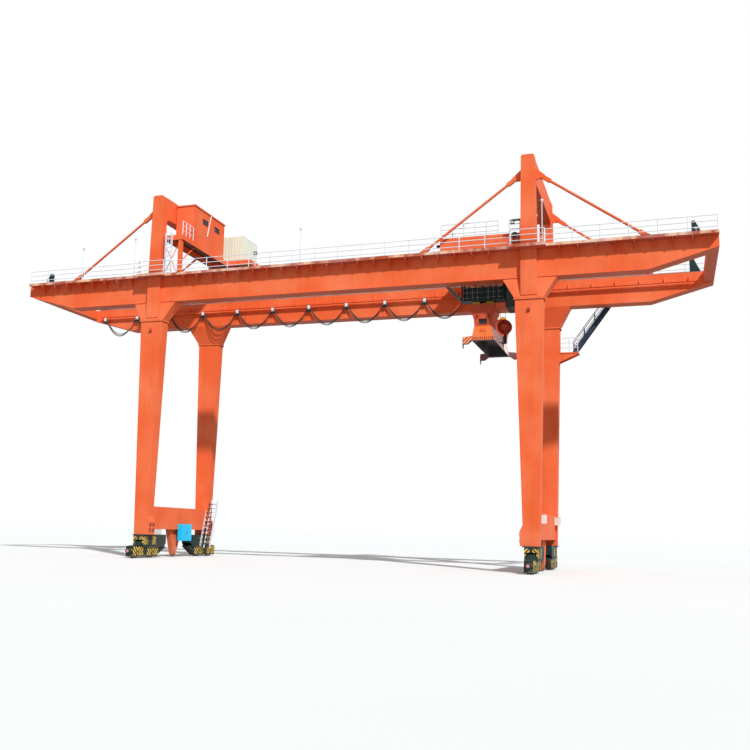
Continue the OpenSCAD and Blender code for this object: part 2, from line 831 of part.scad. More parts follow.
// One cabinet on the left foot beam, and two on the outer side of the right sill
module white_cabinets() {
    low = [380, 640];
    side = [160, 230, 250];
    face_x = leg_x + sill_w / 2;
    side_z = sill_z + sill_h - 30 - side.z;
    color("whitesmoke") {
        block([-leg_x - low.x / 2, -leg_x + low.x / 2], [50 - leg_in_y, 50 + low.y - leg_in_y],
            [leg_bottom_z, sill_z]);
        both_y() block([face_x, face_x + side.x], [leg_in_y - 20 - side.y, leg_in_y - 20],
            [side_z, side_z + side.z]);
    }
}

// Trolley

module at_trolley() {
    translate([trolley_x, 0, 0]) children();
}

carriage_z = track_top_z + 130;
wheel_pocket = trolley_wheel_r + 20;
wheel_x = trolley_l / 2 - 330;
rope_x = [120, 300];
rope_y = 1000;
opening = [520, 1300];
cross_x = trolley_l / 2 - 140;
cross_z = deck_z - deck_t - 300;

module trolley_frame() {
    half = trolley_l / 2;
    color(orange) at_trolley() {
        both_y() difference() {
            block([-half, half], [carriage_in_y, trolley_y],
                [carriage_z, deck_z - deck_t]);
            both_x() block([wheel_x - wheel_pocket, wheel_x + wheel_pocket],
                [track_y - 60, track_y + 60], [carriage_z - 1, track_top_z + wheel_pocket * 2]);
        }
        both_x() block([cross_x - 120, cross_x + 120],
            [-carriage_in_y - 1, carriage_in_y + 1], [cross_z, deck_z - deck_t]);
        both_y() block([1 - cross_x, cross_x - 1], [rope_y - 60, rope_y + 60],
            [deck_z - deck_t - 120, deck_z - deck_t]);
        both_x() both_y() translate([0, track_y, (carriage_z + deck_z) / 2])
            cylinder_x(55, [half - 1, half + buffer_l]);
        translate([tow_x - trolley_x, 0, 0]) {
            block([-30, 30], [tow_y, tow_y + 50], [saddle_z, cross_z + 1]);
            block([-carrier_l / 2, carrier_l / 2], [tow_y, festoon_y + saddle_w / 2],
                [saddle_z, saddle_top_z]);
        }
    }
}

module trolley_deck() {
    half = trolley_l / 2;
    color(orange) at_trolley() difference() {
        block([-half, half], [-trolley_y, trolley_y], [deck_z - deck_t, deck_z]);
        both_y() block([-opening.x, opening.x], [rope_y + 60, opening.y], [0, 2 * deck_z]);
        block([-opening.x, opening.x], [60 - rope_y, rope_y - 60], [0, 2 * deck_z]);
    }
}

module trolley_wheels() {
    color("dimgray") at_trolley() both_x() both_y()
        translate([wheel_x, track_y, track_top_z + trolley_wheel_r + run_gap]) {
            cylinder_y(trolley_wheel_r, [-45, 45]);
            cylinder_y(40, [-60, 60]);
        }
}

// Hoist drum, gearbox and motor on the deck
module hoist_gear() {
    drum_r = 150;
    drum_z = deck_z + drum_r + 60;
    drum_x = -860;
    motor_r = 90;
    motor_foot = 60;
    color([0.25, 0.30, 0.30]) at_trolley() translate([drum_x, 0, 0]) {
        translate([0, 0, drum_z]) {
            cylinder_y(drum_r, [-520, 520]);
            both_y() cylinder_y(drum_r + 30, [520, 545]);
            both_y() cylinder_y(40, [544, 640]);
        }
        both_y() prism_x([[590, deck_z], [590, drum_z], [640, drum_z + 60], [690, drum_z], [690, deck_z]],
            [-110, 110]);
        block([-120, 280], [689, 900], [deck_z, deck_z + 260]);
        translate([420, 0, deck_z + motor_r + motor_foot]) cylinder_x(motor_r, [-141, 330]);
        block([420 - 100, 420 + 250], [-motor_r, motor_r], [deck_z, deck_z + motor_r + motor_foot]);
    }
}

module trolley_railing() {
    half = trolley_l / 2 - 30;
    gate = [560, 900];
    y = trolley_y - 30;
    color(pale) at_trolley() both_y() {
        railing([[-half, y], [gate[0], y]], deck_z, rail_h - 40, 330);
        railing([[gate[1], y], [half, y]], deck_z, rail_h - 40, 330);
    }
}

catwalk_y = [70 - inner_y, 70 - inner_y + catwalk_w];
catwalk_x = [600 - trolley_l / 2, trolley_l / 2 - 550];
hanger_w = 50;
cab_x = [trolley_l / 2 - 530, trolley_l / 2 + 60];
cab_y = [catwalk_y[0] + 20, catwalk_y[0] + 900];
cab_z = [catwalk_z - 270, catwalk_z + 620];

module trolley_catwalk() {
    floor_t = 25;
    color(dark) at_trolley() {
        block(catwalk_x, catwalk_y, [catwalk_z - floor_t, catwalk_z]);
        for (y = [catwalk_y[0] + 20, catwalk_y[1] - 20])
            railing([[catwalk_x[0] + 20, y], [catwalk_x[1] - 20, y]], catwalk_z, rail_h, 220);
        for (x = [catwalk_x[0] + 10, catwalk_x[1] - 60], y = [catwalk_y[0], catwalk_y[1] - hanger_w])
            block([x, x + hanger_w], [y, y + hanger_w], [catwalk_z - 1, deck_z - deck_t]);
    }
}

module trolley_stair() {
    rise = 540;
    run = 500;
    steps = 6;
    x0 = catwalk_x[0];
    y = [catwalk_y[0] + 60, catwalk_y[0] + 350];
    color([0.25, 0.36, 0.32]) at_trolley() {
        for (side = [y[0], y[1] - 20])
            prism_y([[x0, catwalk_z - 20], [x0, catwalk_z + 100], [x0 - run, catwalk_z + rise + 60],
                [x0 - run, catwalk_z + rise - 60]], [side, side + 20]);
        for (i = [1:steps]) let (t = (i - 0.5) / steps)
            block([x0 - t * run - 60, x0 - t * run + 60], [y[0] + 10, y[1] - 10],
                [catwalk_z + t * rise, catwalk_z + t * rise + 12]);
        for (side = [y[0], y[1] - hanger_w])
            block([x0 - run + 8, x0 - run + 8 + hanger_w], [side, side + hanger_w],
                [catwalk_z + rise - 40, cross_z]);
    }
}

module operator_cab() {
    hang = 60;
    chin = [120, 300];
    color(dark) at_trolley() {
        prism_y([[cab_x[0], cab_z[0]], [cab_x[1] - chin.x, cab_z[0]], [cab_x[1], cab_z[0] + chin.y],
            [cab_x[1], cab_z[1]], [cab_x[0], cab_z[1]]], cab_y);
        for (x = [cab_x[0] + 20, cross_x - hang / 2], y = [cab_y[0] + 20, cab_y[1] - 20 - hang])
            block([x, x + hang], [y, y + hang], [cab_z[1] - 1,
                abs(x - cross_x) < 120 ? cross_z : deck_z - deck_t]);
    }
}

// Spreader

tower_z = spreader_z + spreader_h;
corner_z = spreader_z - 100;
corner_l = 120;
tower_top_z = tower_z + tower_h;
tower_y = [spreader_l / 2 - 40 - tower_d, spreader_l / 2 - 40];
beam_foot = 350;
beam_head = 265;

function flank_x(z) = beam_foot + (beam_head - beam_foot) * (z - spreader_z) / spreader_h;

module hoist_ropes() {
    rope_d = 14;
    color("dimgray") at_trolley() both_x() both_y() for (x = rope_x)
        translate([x, rope_y, tower_top_z + 40])
            cylinder(d = rope_d, h = deck_z - deck_t - 120 - tower_top_z - 40, $fn = 12);
}

// Open bottomed main beam with end beams and corner arms
module spreader_frame() {
    wall = 25;
    foot = beam_foot;
    head = beam_head;
    half = spreader_l / 2;
    arm_w = 150;
    color(orange) at_trolley() {
        difference() {
            prism_y([[-foot, spreader_z], [foot, spreader_z], [head, tower_z], [-head, tower_z]],
                [-half, half]);
            prism_y([[wall - foot, spreader_z - 1], [foot - wall, spreader_z - 1],
                [head - wall, tower_z - 120], [wall - head, tower_z - 120]], [arm_w - half, half - arm_w]);
        }
        both_x() both_y() prism_y([[foot - 20, spreader_z + 20], [foot - 60, spreader_z + 150],
            [spreader_w / 2, spreader_z + 110], [spreader_w / 2, corner_z],
            [spreader_w / 2 - corner_l, corner_z]], [half - arm_w, half]);
    }
}

module rope_towers() {
    window = [250, 165];
    recess = 90;
    side = [[beam_head, 0], [280, 0.3], [315, 0.47], [385, 0.66], [395, 0.88], [335, 1]];
    right = [for (p = side) [p[0], tower_z + p[1] * tower_h]];
    left = [for (i = [len(side) - 1:-1:0]) [-side[i][0], tower_z + side[i][1] * tower_h]];
    color([0.80, 0.26, 0.16]) at_trolley() both_y() difference() {
        prism_y(concat(right, left), tower_y);
        block([-window.x / 2, window.x / 2], [tower_y[1] - recess, tower_y[1] + 1],
            [tower_z + 68, tower_z + 68 + window.y]);
    }
}

// Half round covers over the rope sheaves
module sheave_guards() {
    guard_r = 120;
    color(yellow) at_trolley() both_x() both_y() difference() {
        translate([(rope_x[0] + rope_x[1]) / 2, 0, tower_top_z])
            cylinder_y(guard_r, [rope_y - 60, rope_y + 60]);
        block([-500, 500], [rope_y - 70, rope_y + 70], [tower_top_z - 2 * guard_r, tower_top_z]);
        block([-500, 500], [rope_y - 70, rope_y + 70], [tower_top_z + 40, tower_top_z + 2 * guard_r]);
    }
}

module cable_reel() {
    reel_x = 420;
    reel_z = tower_z + reel_r + 50;
    disc_t = 14;
    disc_y = [0, 130];
    post_half = 40;
    post_y = [disc_y[1] + disc_t - 1, disc_y[1] + disc_t + 40];
    foot_z = [tower_z - 260, tower_z - 199];
    color([0.45, 0.10, 0.08]) at_trolley() {
        translate([reel_x, 0, reel_z]) {
            for (y = disc_y) cylinder_y(reel_r, [y, y + disc_t]);
            cylinder_y(reel_r * 0.55, [disc_t - 1, disc_y[1] + 1]);
        }
        block([reel_x - post_half, reel_x + post_half], post_y, [foot_z[1] - 1, reel_z]);
        prism_y([[flank_x(foot_z[0]), foot_z[0]], [reel_x + post_half, foot_z[0]],
            [reel_x + post_half, foot_z[1]], [flank_x(foot_z[1]), foot_z[1]]], post_y);
    }
}

module corner_guides() {
    tip_drop = 130;
    color([0.10, 0.22, 0.50]) at_trolley() both_x() both_y()
        prism_y([[spreader_w / 2, spreader_z - 90], [spreader_w / 2, spreader_z + 100],
            [spreader_w / 2 + 24, spreader_z + 90], [spreader_w / 2 + 24, corner_z - tip_drop],
            [spreader_w / 2 + 6, corner_z - tip_drop]],
            [spreader_l / 2 - 120, spreader_l / 2 - 30]);
}

// Bogies and gantry wheels

axle_r = 40;
slot_half = wheel_r + wheel_flange + 15;
wheel_w = 126;
slot_w = wheel_w / 2 + 12;
cap_t = 20;

// A bogie on the front left corner: a rocker over two wheels, with a buffer at its short outer end
module bogie() {
    outer = wheel_base / 2 + slot_half + 110;
    inner = bogie_l - outer;
    skirt_z = 45;
    shoulder_z = axle_z + slot_half + 35;
    rake_y = wheel_base / 2 + slot_half + 40;
    boss = 80;
    buffer = [120, 80, 105];
    difference() {
        union() {
            prism_x([[-outer, skirt_z], [-outer, shoulder_z - 20], [150 - outer, shoulder_z],
                [-300, shoulder_z + 20], [-150, pivot_z + boss], [150, pivot_z + boss],
                [300, shoulder_z + 20], [inner - 150, shoulder_z], [inner, shoulder_z - 20],
                [inner, shoulder_z - 60], [rake_y, skirt_z]], [-bogie_w / 2, bogie_w / 2]);
            both_x() both_y() translate([0, wheel_base / 2, axle_z])
                cylinder_x(boss, [bogie_w / 2 - 1, bogie_w / 2 + cap_t]);
            translate([0, 0, axle_z + 60]) cylinder_y(buffer[1], [-outer - buffer[0], 1 - outer]);
            translate([0, 0, axle_z + 60]) cylinder_y(buffer[2], [-outer - 30, 1 - outer]);
        }
        both_y() block([-slot_w, slot_w], [wheel_base / 2 - slot_half, wheel_base / 2 + slot_half],
            [-1, axle_z + slot_half]);
        both_y() translate([0, wheel_base / 2, axle_z])
            cylinder_x(axle_r + run_gap, [-bogie_w, bogie_w]);
        translate([0, 0, pivot_z]) cylinder_x(pivot_r + run_gap, [-bogie_w, bogie_w]);
    }
}

module wheel() {
    flange_w = 18;
    cylinder_x(wheel_r, [-wheel_w / 2, wheel_w / 2]);
    both_x() cylinder_x(wheel_r + wheel_flange, [wheel_w / 2 - flange_w, wheel_w / 2]);
    cylinder_x(axle_r, [-bogie_w / 2 - cap_t + 5, bogie_w / 2 + cap_t - 5]);
}

// side is -1 for left, end is -1 for front
module bogie_at(side, end) {
    color(dark) translate([side * leg_x, end * leg_y, 0]) mirror([0, end > 0 ? 1 : 0, 0]) bogie();
}

// place is 1 for the wheel nearer the outer end of its bogie
module wheel_at(side, end, place) {
    color("dimgray") translate([side * leg_x, end * (leg_y + place * wheel_base / 2), axle_z]) wheel();
}

front_girder();
rear_girder();
end_beams();
front_legs();
rear_legs();
leg_heads();
leg_feet();
sill_beams();
portal_posts();
portal_beams();
stays();
stay_lugs();
front_walkway();
rear_walkway();
front_railing();
rear_railing();
lamp_poles();
trolley_rails();
end_stops();
machine_house();
house_platform();
house_posts();
house_ladder();
electrical_room();
festoon_track();
festoon_carriers();
festoon_cables();
access_landing();
access_stair();
leg_ladder();
sill_ladder();
blue_cabinet();
white_cabinets();
anchor_fins();
trolley_frame();
trolley_deck();
trolley_wheels();
hoist_gear();
trolley_railing();
trolley_catwalk();
trolley_stair();
operator_cab();
hoist_ropes();
spreader_frame();
rope_towers();
sheave_guards();
cable_reel();
corner_guides();
bogie_at(-1, -1);  // bogie_front_left
bogie_at(1, -1);  // bogie_front_right
bogie_at(-1, 1);  // bogie_rear_left
bogie_at(1, 1);  // bogie_rear_right
wheel_at(-1, -1, 1);  // wheel_front_left_outer
wheel_at(-1, -1, -1);  // wheel_front_left_inner
wheel_at(1, -1, 1);  // wheel_front_right_outer
wheel_at(1, -1, -1);  // wheel_front_right_inner
wheel_at(-1, 1, 1);  // wheel_rear_left_outer
wheel_at(-1, 1, -1);  // wheel_rear_left_inner
wheel_at(1, 1, 1);  // wheel_rear_right_outer
wheel_at(1, 1, -1);  // wheel_rear_right_inner
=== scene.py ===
# Looks of the rail mounted gantry crane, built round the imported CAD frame. All lengths are metres.
import functools
import json
import math
from math import cos, sin

import bmesh
import bpy
from mathutils import Matrix, Vector

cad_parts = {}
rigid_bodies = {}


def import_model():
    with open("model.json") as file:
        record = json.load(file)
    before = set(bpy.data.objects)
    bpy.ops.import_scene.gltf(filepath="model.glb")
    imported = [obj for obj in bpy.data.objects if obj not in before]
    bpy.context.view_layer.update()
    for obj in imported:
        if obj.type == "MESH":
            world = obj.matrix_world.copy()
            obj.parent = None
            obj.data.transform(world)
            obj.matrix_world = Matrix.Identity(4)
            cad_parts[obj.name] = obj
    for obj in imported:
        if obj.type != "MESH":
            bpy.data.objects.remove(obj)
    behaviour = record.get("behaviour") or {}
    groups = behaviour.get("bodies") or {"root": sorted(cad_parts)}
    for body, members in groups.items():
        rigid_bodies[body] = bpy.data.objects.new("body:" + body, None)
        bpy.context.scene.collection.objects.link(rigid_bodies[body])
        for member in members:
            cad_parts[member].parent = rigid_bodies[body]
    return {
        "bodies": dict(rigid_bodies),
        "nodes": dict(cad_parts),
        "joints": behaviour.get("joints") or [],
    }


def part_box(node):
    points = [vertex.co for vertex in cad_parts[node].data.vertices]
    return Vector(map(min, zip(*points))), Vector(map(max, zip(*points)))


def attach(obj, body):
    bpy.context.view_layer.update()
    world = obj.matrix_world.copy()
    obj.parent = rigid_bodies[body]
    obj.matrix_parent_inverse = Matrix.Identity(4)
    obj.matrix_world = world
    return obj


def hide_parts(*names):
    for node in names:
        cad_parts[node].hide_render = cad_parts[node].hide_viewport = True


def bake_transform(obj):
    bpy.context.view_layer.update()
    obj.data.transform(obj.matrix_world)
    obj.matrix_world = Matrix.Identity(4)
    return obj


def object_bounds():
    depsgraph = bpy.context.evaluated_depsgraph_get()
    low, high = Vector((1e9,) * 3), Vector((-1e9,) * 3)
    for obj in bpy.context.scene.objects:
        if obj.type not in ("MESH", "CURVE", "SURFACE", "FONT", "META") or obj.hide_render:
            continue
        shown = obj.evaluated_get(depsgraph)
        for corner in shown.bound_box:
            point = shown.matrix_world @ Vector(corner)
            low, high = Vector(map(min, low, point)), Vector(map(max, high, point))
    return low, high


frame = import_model()
cad_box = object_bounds()
nodes = frame["nodes"]
joints = {joint["name"]: joint for joint in frame["joints"]}

# Places that the frame gives
pivot = Vector(joints["bogie_front_right_rock"]["pos_m"])
axle = Vector(joints["wheel_front_right_outer_roll"]["pos_m"])
LEG_X, LEG_Y = pivot.x, -pivot.y
WHEEL_DY, AXLE_Z = abs(axle.y) - LEG_Y, axle.z
BUFFER_Y, BUFFER_Z = cad_box[1].y, AXLE_Z + 0.06
girder_lo, girder_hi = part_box("front_girder")
TOP_Z = girder_hi.z
GIRDER_LIP, WALK_W, RAIL_H = 0.025, 0.3, 0.5
WALK_Y = -girder_lo.y - GIRDER_LIP + WALK_W
deck_lo, deck_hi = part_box("trolley_deck")
TROLLEY_X = (deck_lo.x + deck_hi.x) / 2
SIDES = (-1, 1)
CORNERS = [(side, end) for side in SIDES for end in SIDES]


def degrees(*values):
    """Angles that are given in degrees."""
    return [math.radians(value) for value in values]


def link(name, data):
    item = bpy.data.objects.new(name, data)
    bpy.context.scene.collection.objects.link(item)
    return item


def circle(count):
    """Angles in even steps round a full turn."""
    return [2 * math.pi * i / count for i in range(count)]


HALF_TURN = degrees(*range(0, 181, 15))


# Camera: fitted to the legs, girders and posts of the photograph
PHOTO_PX = 750
FOCAL_PX = 939.944
CENTRE_PX = (316.545, 376.795)
SENSOR_MM = 36
FAR_CLIP = 500
YAW, PITCH, ROLL = degrees(20.722, 9.268, 1.562)
CAMERA_AT = Vector((10.133, -29.849, 1.055))


def make_camera():
    data = bpy.data.cameras.new("photo_camera")
    data.sensor_width = SENSOR_MM
    data.lens = FOCAL_PX / PHOTO_PX * SENSOR_MM
    data.shift_x = (PHOTO_PX / 2 - CENTRE_PX[0]) / PHOTO_PX
    data.shift_y = (CENTRE_PX[1] - PHOTO_PX / 2) / PHOTO_PX
    data.clip_end = FAR_CLIP
    camera = link("photo_camera", data)
    ahead = Vector((-sin(YAW) * cos(PITCH), cos(YAW) * cos(PITCH), sin(PITCH)))
    level = Vector((cos(YAW), sin(YAW), 0))
    above = level.cross(ahead)
    right = cos(ROLL) * level + sin(ROLL) * above
    up = -sin(ROLL) * level + cos(ROLL) * above
    turn = Matrix((right, up, -ahead)).transposed()
    camera.matrix_world = Matrix.Translation(CAMERA_AT) @ turn.to_4x4()
    bpy.context.scene.camera = camera


make_camera()


# Materials


def srgb(*screen):
    """A colour given as it shows on screen, 0 to 255, as the linear colour that a shader takes."""
    shares = [value / 255 for value in screen]
    return *(s / 12.92 if s <= 0.04045 else ((s + 0.055) / 1.055) ** 2.4 for s in shares), 1.0


class Value:
    """What a node gives at each point of a surface, to reckon with."""

    def __init__(self, graph, socket):
        self.graph, self.socket = graph, socket

    def math(self, operation, other=0.0):
        return self.graph.node("Math", {0: self, 1: other}, operation=operation)


for word, operation in (("add", "ADD"), ("sub", "SUBTRACT"), ("mul", "MULTIPLY"), ("truediv", "DIVIDE"),
                        ("abs", "ABSOLUTE"), ("or", "MAXIMUM"), ("gt", "GREATER_THAN"), ("lt", "LESS_THAN")):
    setattr(Value, f"__{word}__", functools.partialmethod(Value.math, operation))


class Graph:
    """A node tree, with a short way to add nodes to it."""

    def __init__(self, tree):
        self.tree = tree

    def put(self, socket, value):
        if isinstance(value, Value):
            self.tree.links.new(value.socket, socket)
        else:
            socket.default_value = value

    def node(self, kind, inputs, out=0, **settings):
        """One output of a new node with those inputs, all by name or by place."""
        node = self.tree.nodes.new("ShaderNode" + kind)
        for name, value in settings.items():
            setattr(node, name, value)
        for name, value in inputs.items():
            self.put(node.inputs[name], value)
        return Value(self, node.outputs[out])

    def seen(self):
        """1 for a ray that shows the surface itself: straight, in a mirror or through a pane."""
        straight, mirrored, through = (self.node("LightPath", {}, f"Is {kind} Ray")
                                       for kind in ("Camera", "Glossy", "Transmission"))
        return straight | mirrored | through


FLAT = 0.7  # the least part of a normal along an axis for a surface that faces it


class Look(Graph):
    """One node material, with short ways to add textures in the object's own coordinates."""

    def __init__(self, name, roughness=0.5, metallic=0.0):
        self.material = bpy.data.materials.new(name)
        self.material.use_nodes = True
        super().__init__(self.material.node_tree)
        self.give(Roughness=roughness, Metallic=metallic)
        self.coords = self.node("TexCoord", {}, "Object")
        self.x, self.y, self.z = self.split(self.coords)
        self.nx, self.ny, self.nz = self.split(self.node("TexCoord", {}, "Normal"))

    def give(self, **values):
        """Sets inputs of the shader, each named with a low line for a space, and returns the material."""
        for name, value in values.items():
            self.put(self.tree.nodes["Principled BSDF"].inputs[name.replace("_", " ")], value)
        return self.material

    def split(self, vector):
        return [self.node("SeparateXYZ", {0: vector}, axis) for axis in "XYZ"]

    def noise(self, scale, detail, stretch=(1, 1, 1)):
        spot = self.node("Mapping", {"Vector": self.coords, "Scale": stretch})
        return self.node("TexNoise", {"Vector": spot, "Scale": scale, "Detail": detail}, "Fac")

    def band(self, value, low, high, to_low=0.0, to_high=1.0):
        """value taken from low..high to to_low..to_high, and held beyond them."""
        return self.node("MapRange", {"Value": value, "From Min": low, "From Max": high,
                                      "To Min": to_low, "To Max": to_high})

    def mix(self, factor, a, b):
        return self.node("Mix", {0: factor, 6: a, 7: b}, 2, data_type="RGBA")

    def bump(self, height, strength, distance, **over):
        return self.node("Bump", {"Height": height, "Strength": strength, "Distance": distance, **over})


def within(value, low, high):
    """1 between two values, else 0."""
    return (value > low) * (value < high)


def stripes(along, pitch, share=0.5):
    """1 on stripes of that pitch along a coordinate, else 0."""
    return (along / pitch).math("FRACT") < share


# The soot colour darkens the run marks, which is real grime, and also the undersides, which is painted shade.
RUST, DUST, SOOT_AND_SHADE = srgb(96, 50, 30), srgb(176, 160, 138), srgb(70, 42, 36)
BLACK = srgb(28, 30, 30)


def weathered(look, colour, faded, grime=0.25, dust_z=1.2, gloss=0.55, ripple=0.25, shine=0.12, under=0.45):
    """Paint that has faded in patches, with run marks, rust specks, undersides darkened with the soot colour as
    painted shade, and dust near the ground.
    """
    patch = look.band(look.noise(0.8, 5), 0.4, 0.7)
    runs = look.band(look.noise(4.0, 5, (2.0, 2.0, 0.1)), 0.52, 0.78, 0.0, grime)
    specks = look.band(look.noise(24, 3), 0.69, 0.76, 0.0, 0.5)
    # Faces that look down are darkened with the soot colour: painted shade.
    underside_shade = (look.nz < -FLAT) * under
    low = look.band(look.z, dust_z, 0.0, 0.0, 0.5) * look.band(look.noise(5.0, 5), 0.3, 0.65)
    shown = look.mix(patch, colour, faded)
    for share, tone in ((runs, SOOT_AND_SHADE), (specks, RUST), (underside_shade, SOOT_AND_SHADE), (low, DUST)):
        shown = look.mix(share, shown, tone)
    rough = look.band(patch, 0, 1, gloss, gloss + 0.15) + low * 0.4
    plates = look.bump(look.noise(1.1, 2), ripple, 0.03)
    grain = look.bump(look.noise(90, 3), 0.1, 0.004, Normal=plates)
    return look.give(Base_Color=shown, Roughness=rough, Normal=grain, Specular_IOR_Level=shine)


def painted(name, colour, faded, **wear):
    return weathered(Look(name), colour, faded, **wear)


ORANGE, ORANGE_FADED = srgb(235, 103, 58), srgb(242, 125, 84)
PALE, PALE_FADED = srgb(232, 239, 252), srgb(218, 226, 240)
DARK, DARK_FADED = srgb(14, 46, 48), srgb(34, 62, 62)
CREAM, ROOM_BLUE = srgb(236, 238, 216), srgb(214, 230, 238)
WHITE = srgb(232, 232, 228)
HAZARD_YELLOW = srgb(232, 196, 84)

orange = painted("orange_paint", ORANGE, ORANGE_FADED, grime=0.12)
# The house platform's undersides are darkened almost fully to the soot colour: painted shade.
platform_paint = painted("platform_paint", ORANGE, ORANGE_FADED, grime=0.12, under=0.95)
pale = painted("pale_paint", PALE, PALE_FADED, grime=0.15, ripple=0.05)
dark = painted("dark_green_paint", DARK, DARK_FADED, dust_z=0.3, shine=0.15)
slate = painted("slate_paint", srgb(34, 52, 80), srgb(58, 74, 98))
blue = painted("blue_paint", srgb(30, 200, 255), srgb(62, 208, 255), grime=0.06, dust_z=0.4, gloss=0.25)
white = painted("white_paint", WHITE, srgb(210, 210, 206), grime=0.15, dust_z=0.9)
grey_green = painted("grey_green_paint", srgb(92, 112, 104), srgb(124, 140, 130))
lattice_paint = painted("lattice_paint", srgb(150, 172, 168), srgb(174, 190, 186))
red_brown = painted("red_brown_paint", srgb(196, 84, 58), srgb(212, 114, 86), grime=0.35)
yellow = painted("yellow_paint", srgb(214, 170, 60), srgb(190, 152, 72), grime=0.35)
reel_red = painted("reel_red_paint", srgb(150, 46, 36), srgb(172, 74, 60), gloss=0.3)
guide_blue = painted("guide_blue_paint", srgb(38, 58, 110), srgb(70, 84, 124), grime=0.4)


def make_hazard():
    """Yellow and black chevrons round each wheel, and a pink pad on the tip of each buffer."""
    look = Look("hazard_paint")
    out = abs(look.y)
    from_wheel = abs(abs(out - LEG_Y) - WHEEL_DY)
    band = within(look.z, 0.09, 0.37) * (from_wheel < 0.36)
    chevrons = look.mix(stripes(from_wheel - look.z, 0.15), BLACK, HAZARD_YELLOW)
    colour = look.mix((abs(look.nx) > FLAT) * band, DARK, chevrons)
    aside, rise = abs(look.x) - LEG_X, look.z - BUFFER_Z
    from_axis = (aside * aside + rise * rise).math("SQRT")
    pad = (out > BUFFER_Y - 0.004) * (from_axis < 0.046)
    colour = look.mix(pad, colour, srgb(216, 150, 150))
    return weathered(look, colour, look.mix(0.08, colour, DUST), grime=0.3, dust_z=0.16, gloss=0.5, shine=0.15)


def make_foot():
    """Dark foot beams with striped patches at the outer end and on each side."""
    look = Look("foot_paint")
    out, aside = abs(look.y) - LEG_Y, abs(abs(look.x) - LEG_X)
    patch = (out > -0.03) | within(out, -0.56, -0.33)
    patch = patch * within(look.z, 0.44, 0.7) * (aside > 0.04)
    stripe = stripes(aside + abs(look.y) + look.z, 0.11)
    colour = look.mix(patch, DARK, look.mix(stripe, BLACK, HAZARD_YELLOW))
    return weathered(look, colour, look.mix(0.1, colour, DUST), grime=0.3, dust_z=0.3, gloss=0.5, shine=0.15)


def make_walkway():
    """Orange brackets, a fascia worn to chalk and rust, and a dark grating on top."""
    look = Look("walkway_paint")
    edge = (abs(look.y) > WALK_Y - 0.03) * (look.z > TOP_Z - 0.035)
    worn = look.band(look.noise(3.0, 5, (1, 0.2, 0.6)), 0.4, 0.6)
    colour = look.mix(edge, ORANGE, look.mix(worn, srgb(172, 78, 52), srgb(232, 190, 164)))
    top = (look.nz > FLAT) * (look.z < TOP_Z + 0.01)
    bars = stripes(look.x, 0.016, 0.35) | stripes(look.y, 0.05, 0.2)
    colour = look.mix(top, colour, look.mix(bars, srgb(40, 36, 34), srgb(150, 150, 146)))
    return weathered(look, colour, look.mix(0.2, colour, PALE), grime=0.3)


def make_room():
    """Cream front and back, pale blue ends, and grooves in the sheets darkened towards the dust colour as painted
    shade.
    """
    look = Look("cream_paint")
    ends = abs(look.nx) > FLAT
    along = look.x + (look.y - look.x) * ends
    # Stripes darken the corrugation grooves towards the dust colour: painted shade.
    groove = stripes(along, 0.115, 0.25) * (look.nz < 0.5)
    colour = look.mix(groove * 0.3, look.mix(ends, CREAM, ROOM_BLUE), DUST)
    return weathered(look, colour, look.mix(0.25, colour, WHITE), grime=0.12)


def make_landing_paint():
    """Orange plate and brackets with a pale railing."""
    look = Look("landing_paint")
    rail = look.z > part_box("access_landing")[1].z - RAIL_H + 0.002
    return weathered(look, look.mix(rail, ORANGE, PALE), look.mix(rail, ORANGE_FADED, PALE_FADED))


def make_trolley_paint():
    """Orange with black rubber buffers beyond the ends."""
    look = Look("trolley_paint")
    rubber = abs(look.x - TROLLEY_X) > (deck_hi.x - deck_lo.x) / 2 + 0.002
    return weathered(look, look.mix(rubber, ORANGE, BLACK), look.mix(rubber, ORANGE_FADED, srgb(52, 52, 50)))


def make_deck():
    """Orange edges and a dark chequer plate on top."""
    look = Look("deck_paint")
    diamonds = stripes(look.x + look.y, 0.04, 0.3) * stripes(look.x - look.y, 0.04, 0.7)
    plate = look.mix(diamonds, srgb(96, 92, 88), srgb(140, 136, 130))
    colour = look.mix(look.nz > FLAT, ORANGE, plate)
    return weathered(look, colour, look.mix(0.2, colour, DUST))


def make_spreader_paint():
    """Orange ends, pale flanks, corner arms of three colours, and painted shade: the far arms, the undersides and the
    inward faces darkened.
    """
    look = Look("spreader_paint")
    aside = look.x - TROLLEY_X
    arm_from = 0.352
    colour = look.mix(abs(look.nx) > 0.6, srgb(242, 122, 54), srgb(250, 242, 240))
    left_arm = look.mix(stripes(abs(aside) + look.z, 0.11), srgb(196, 44, 34), srgb(244, 160, 84))
    near_arm = look.mix(aside > 0.0, left_arm, srgb(238, 204, 198))
    # The far arms are painted dark red brown: painted shade.
    arm = look.mix(look.y > 0.0, near_arm, srgb(110, 48, 42))
    colour = look.mix(abs(aside) > arm_from, colour, arm)
    # Undersides and inward faces are painted near black: painted shade.
    inside = (aside * look.nx < -0.05) | (look.y * look.ny < -0.1)
    inner = (look.nz < -FLAT) | inside * (abs(aside) < arm_from)
    colour = look.mix(inner, colour, srgb(40, 36, 36))
    return weathered(look, colour, look.mix(0.15, colour, PALE), grime=0.25)


def make_steel(name, colour, rough):
    look = Look(name, metallic=0.85)
    worn = look.band(look.noise(3, 5), 0.35, 0.7)
    return look.give(Base_Color=look.mix(worn, colour, look.mix(0.5, colour, RUST)),
                     Roughness=look.band(worn, 0, 1, rough, rough + 0.3),
                     Normal=look.bump(look.noise(60, 3, (0.2, 1, 1)), 0.2, 0.003))


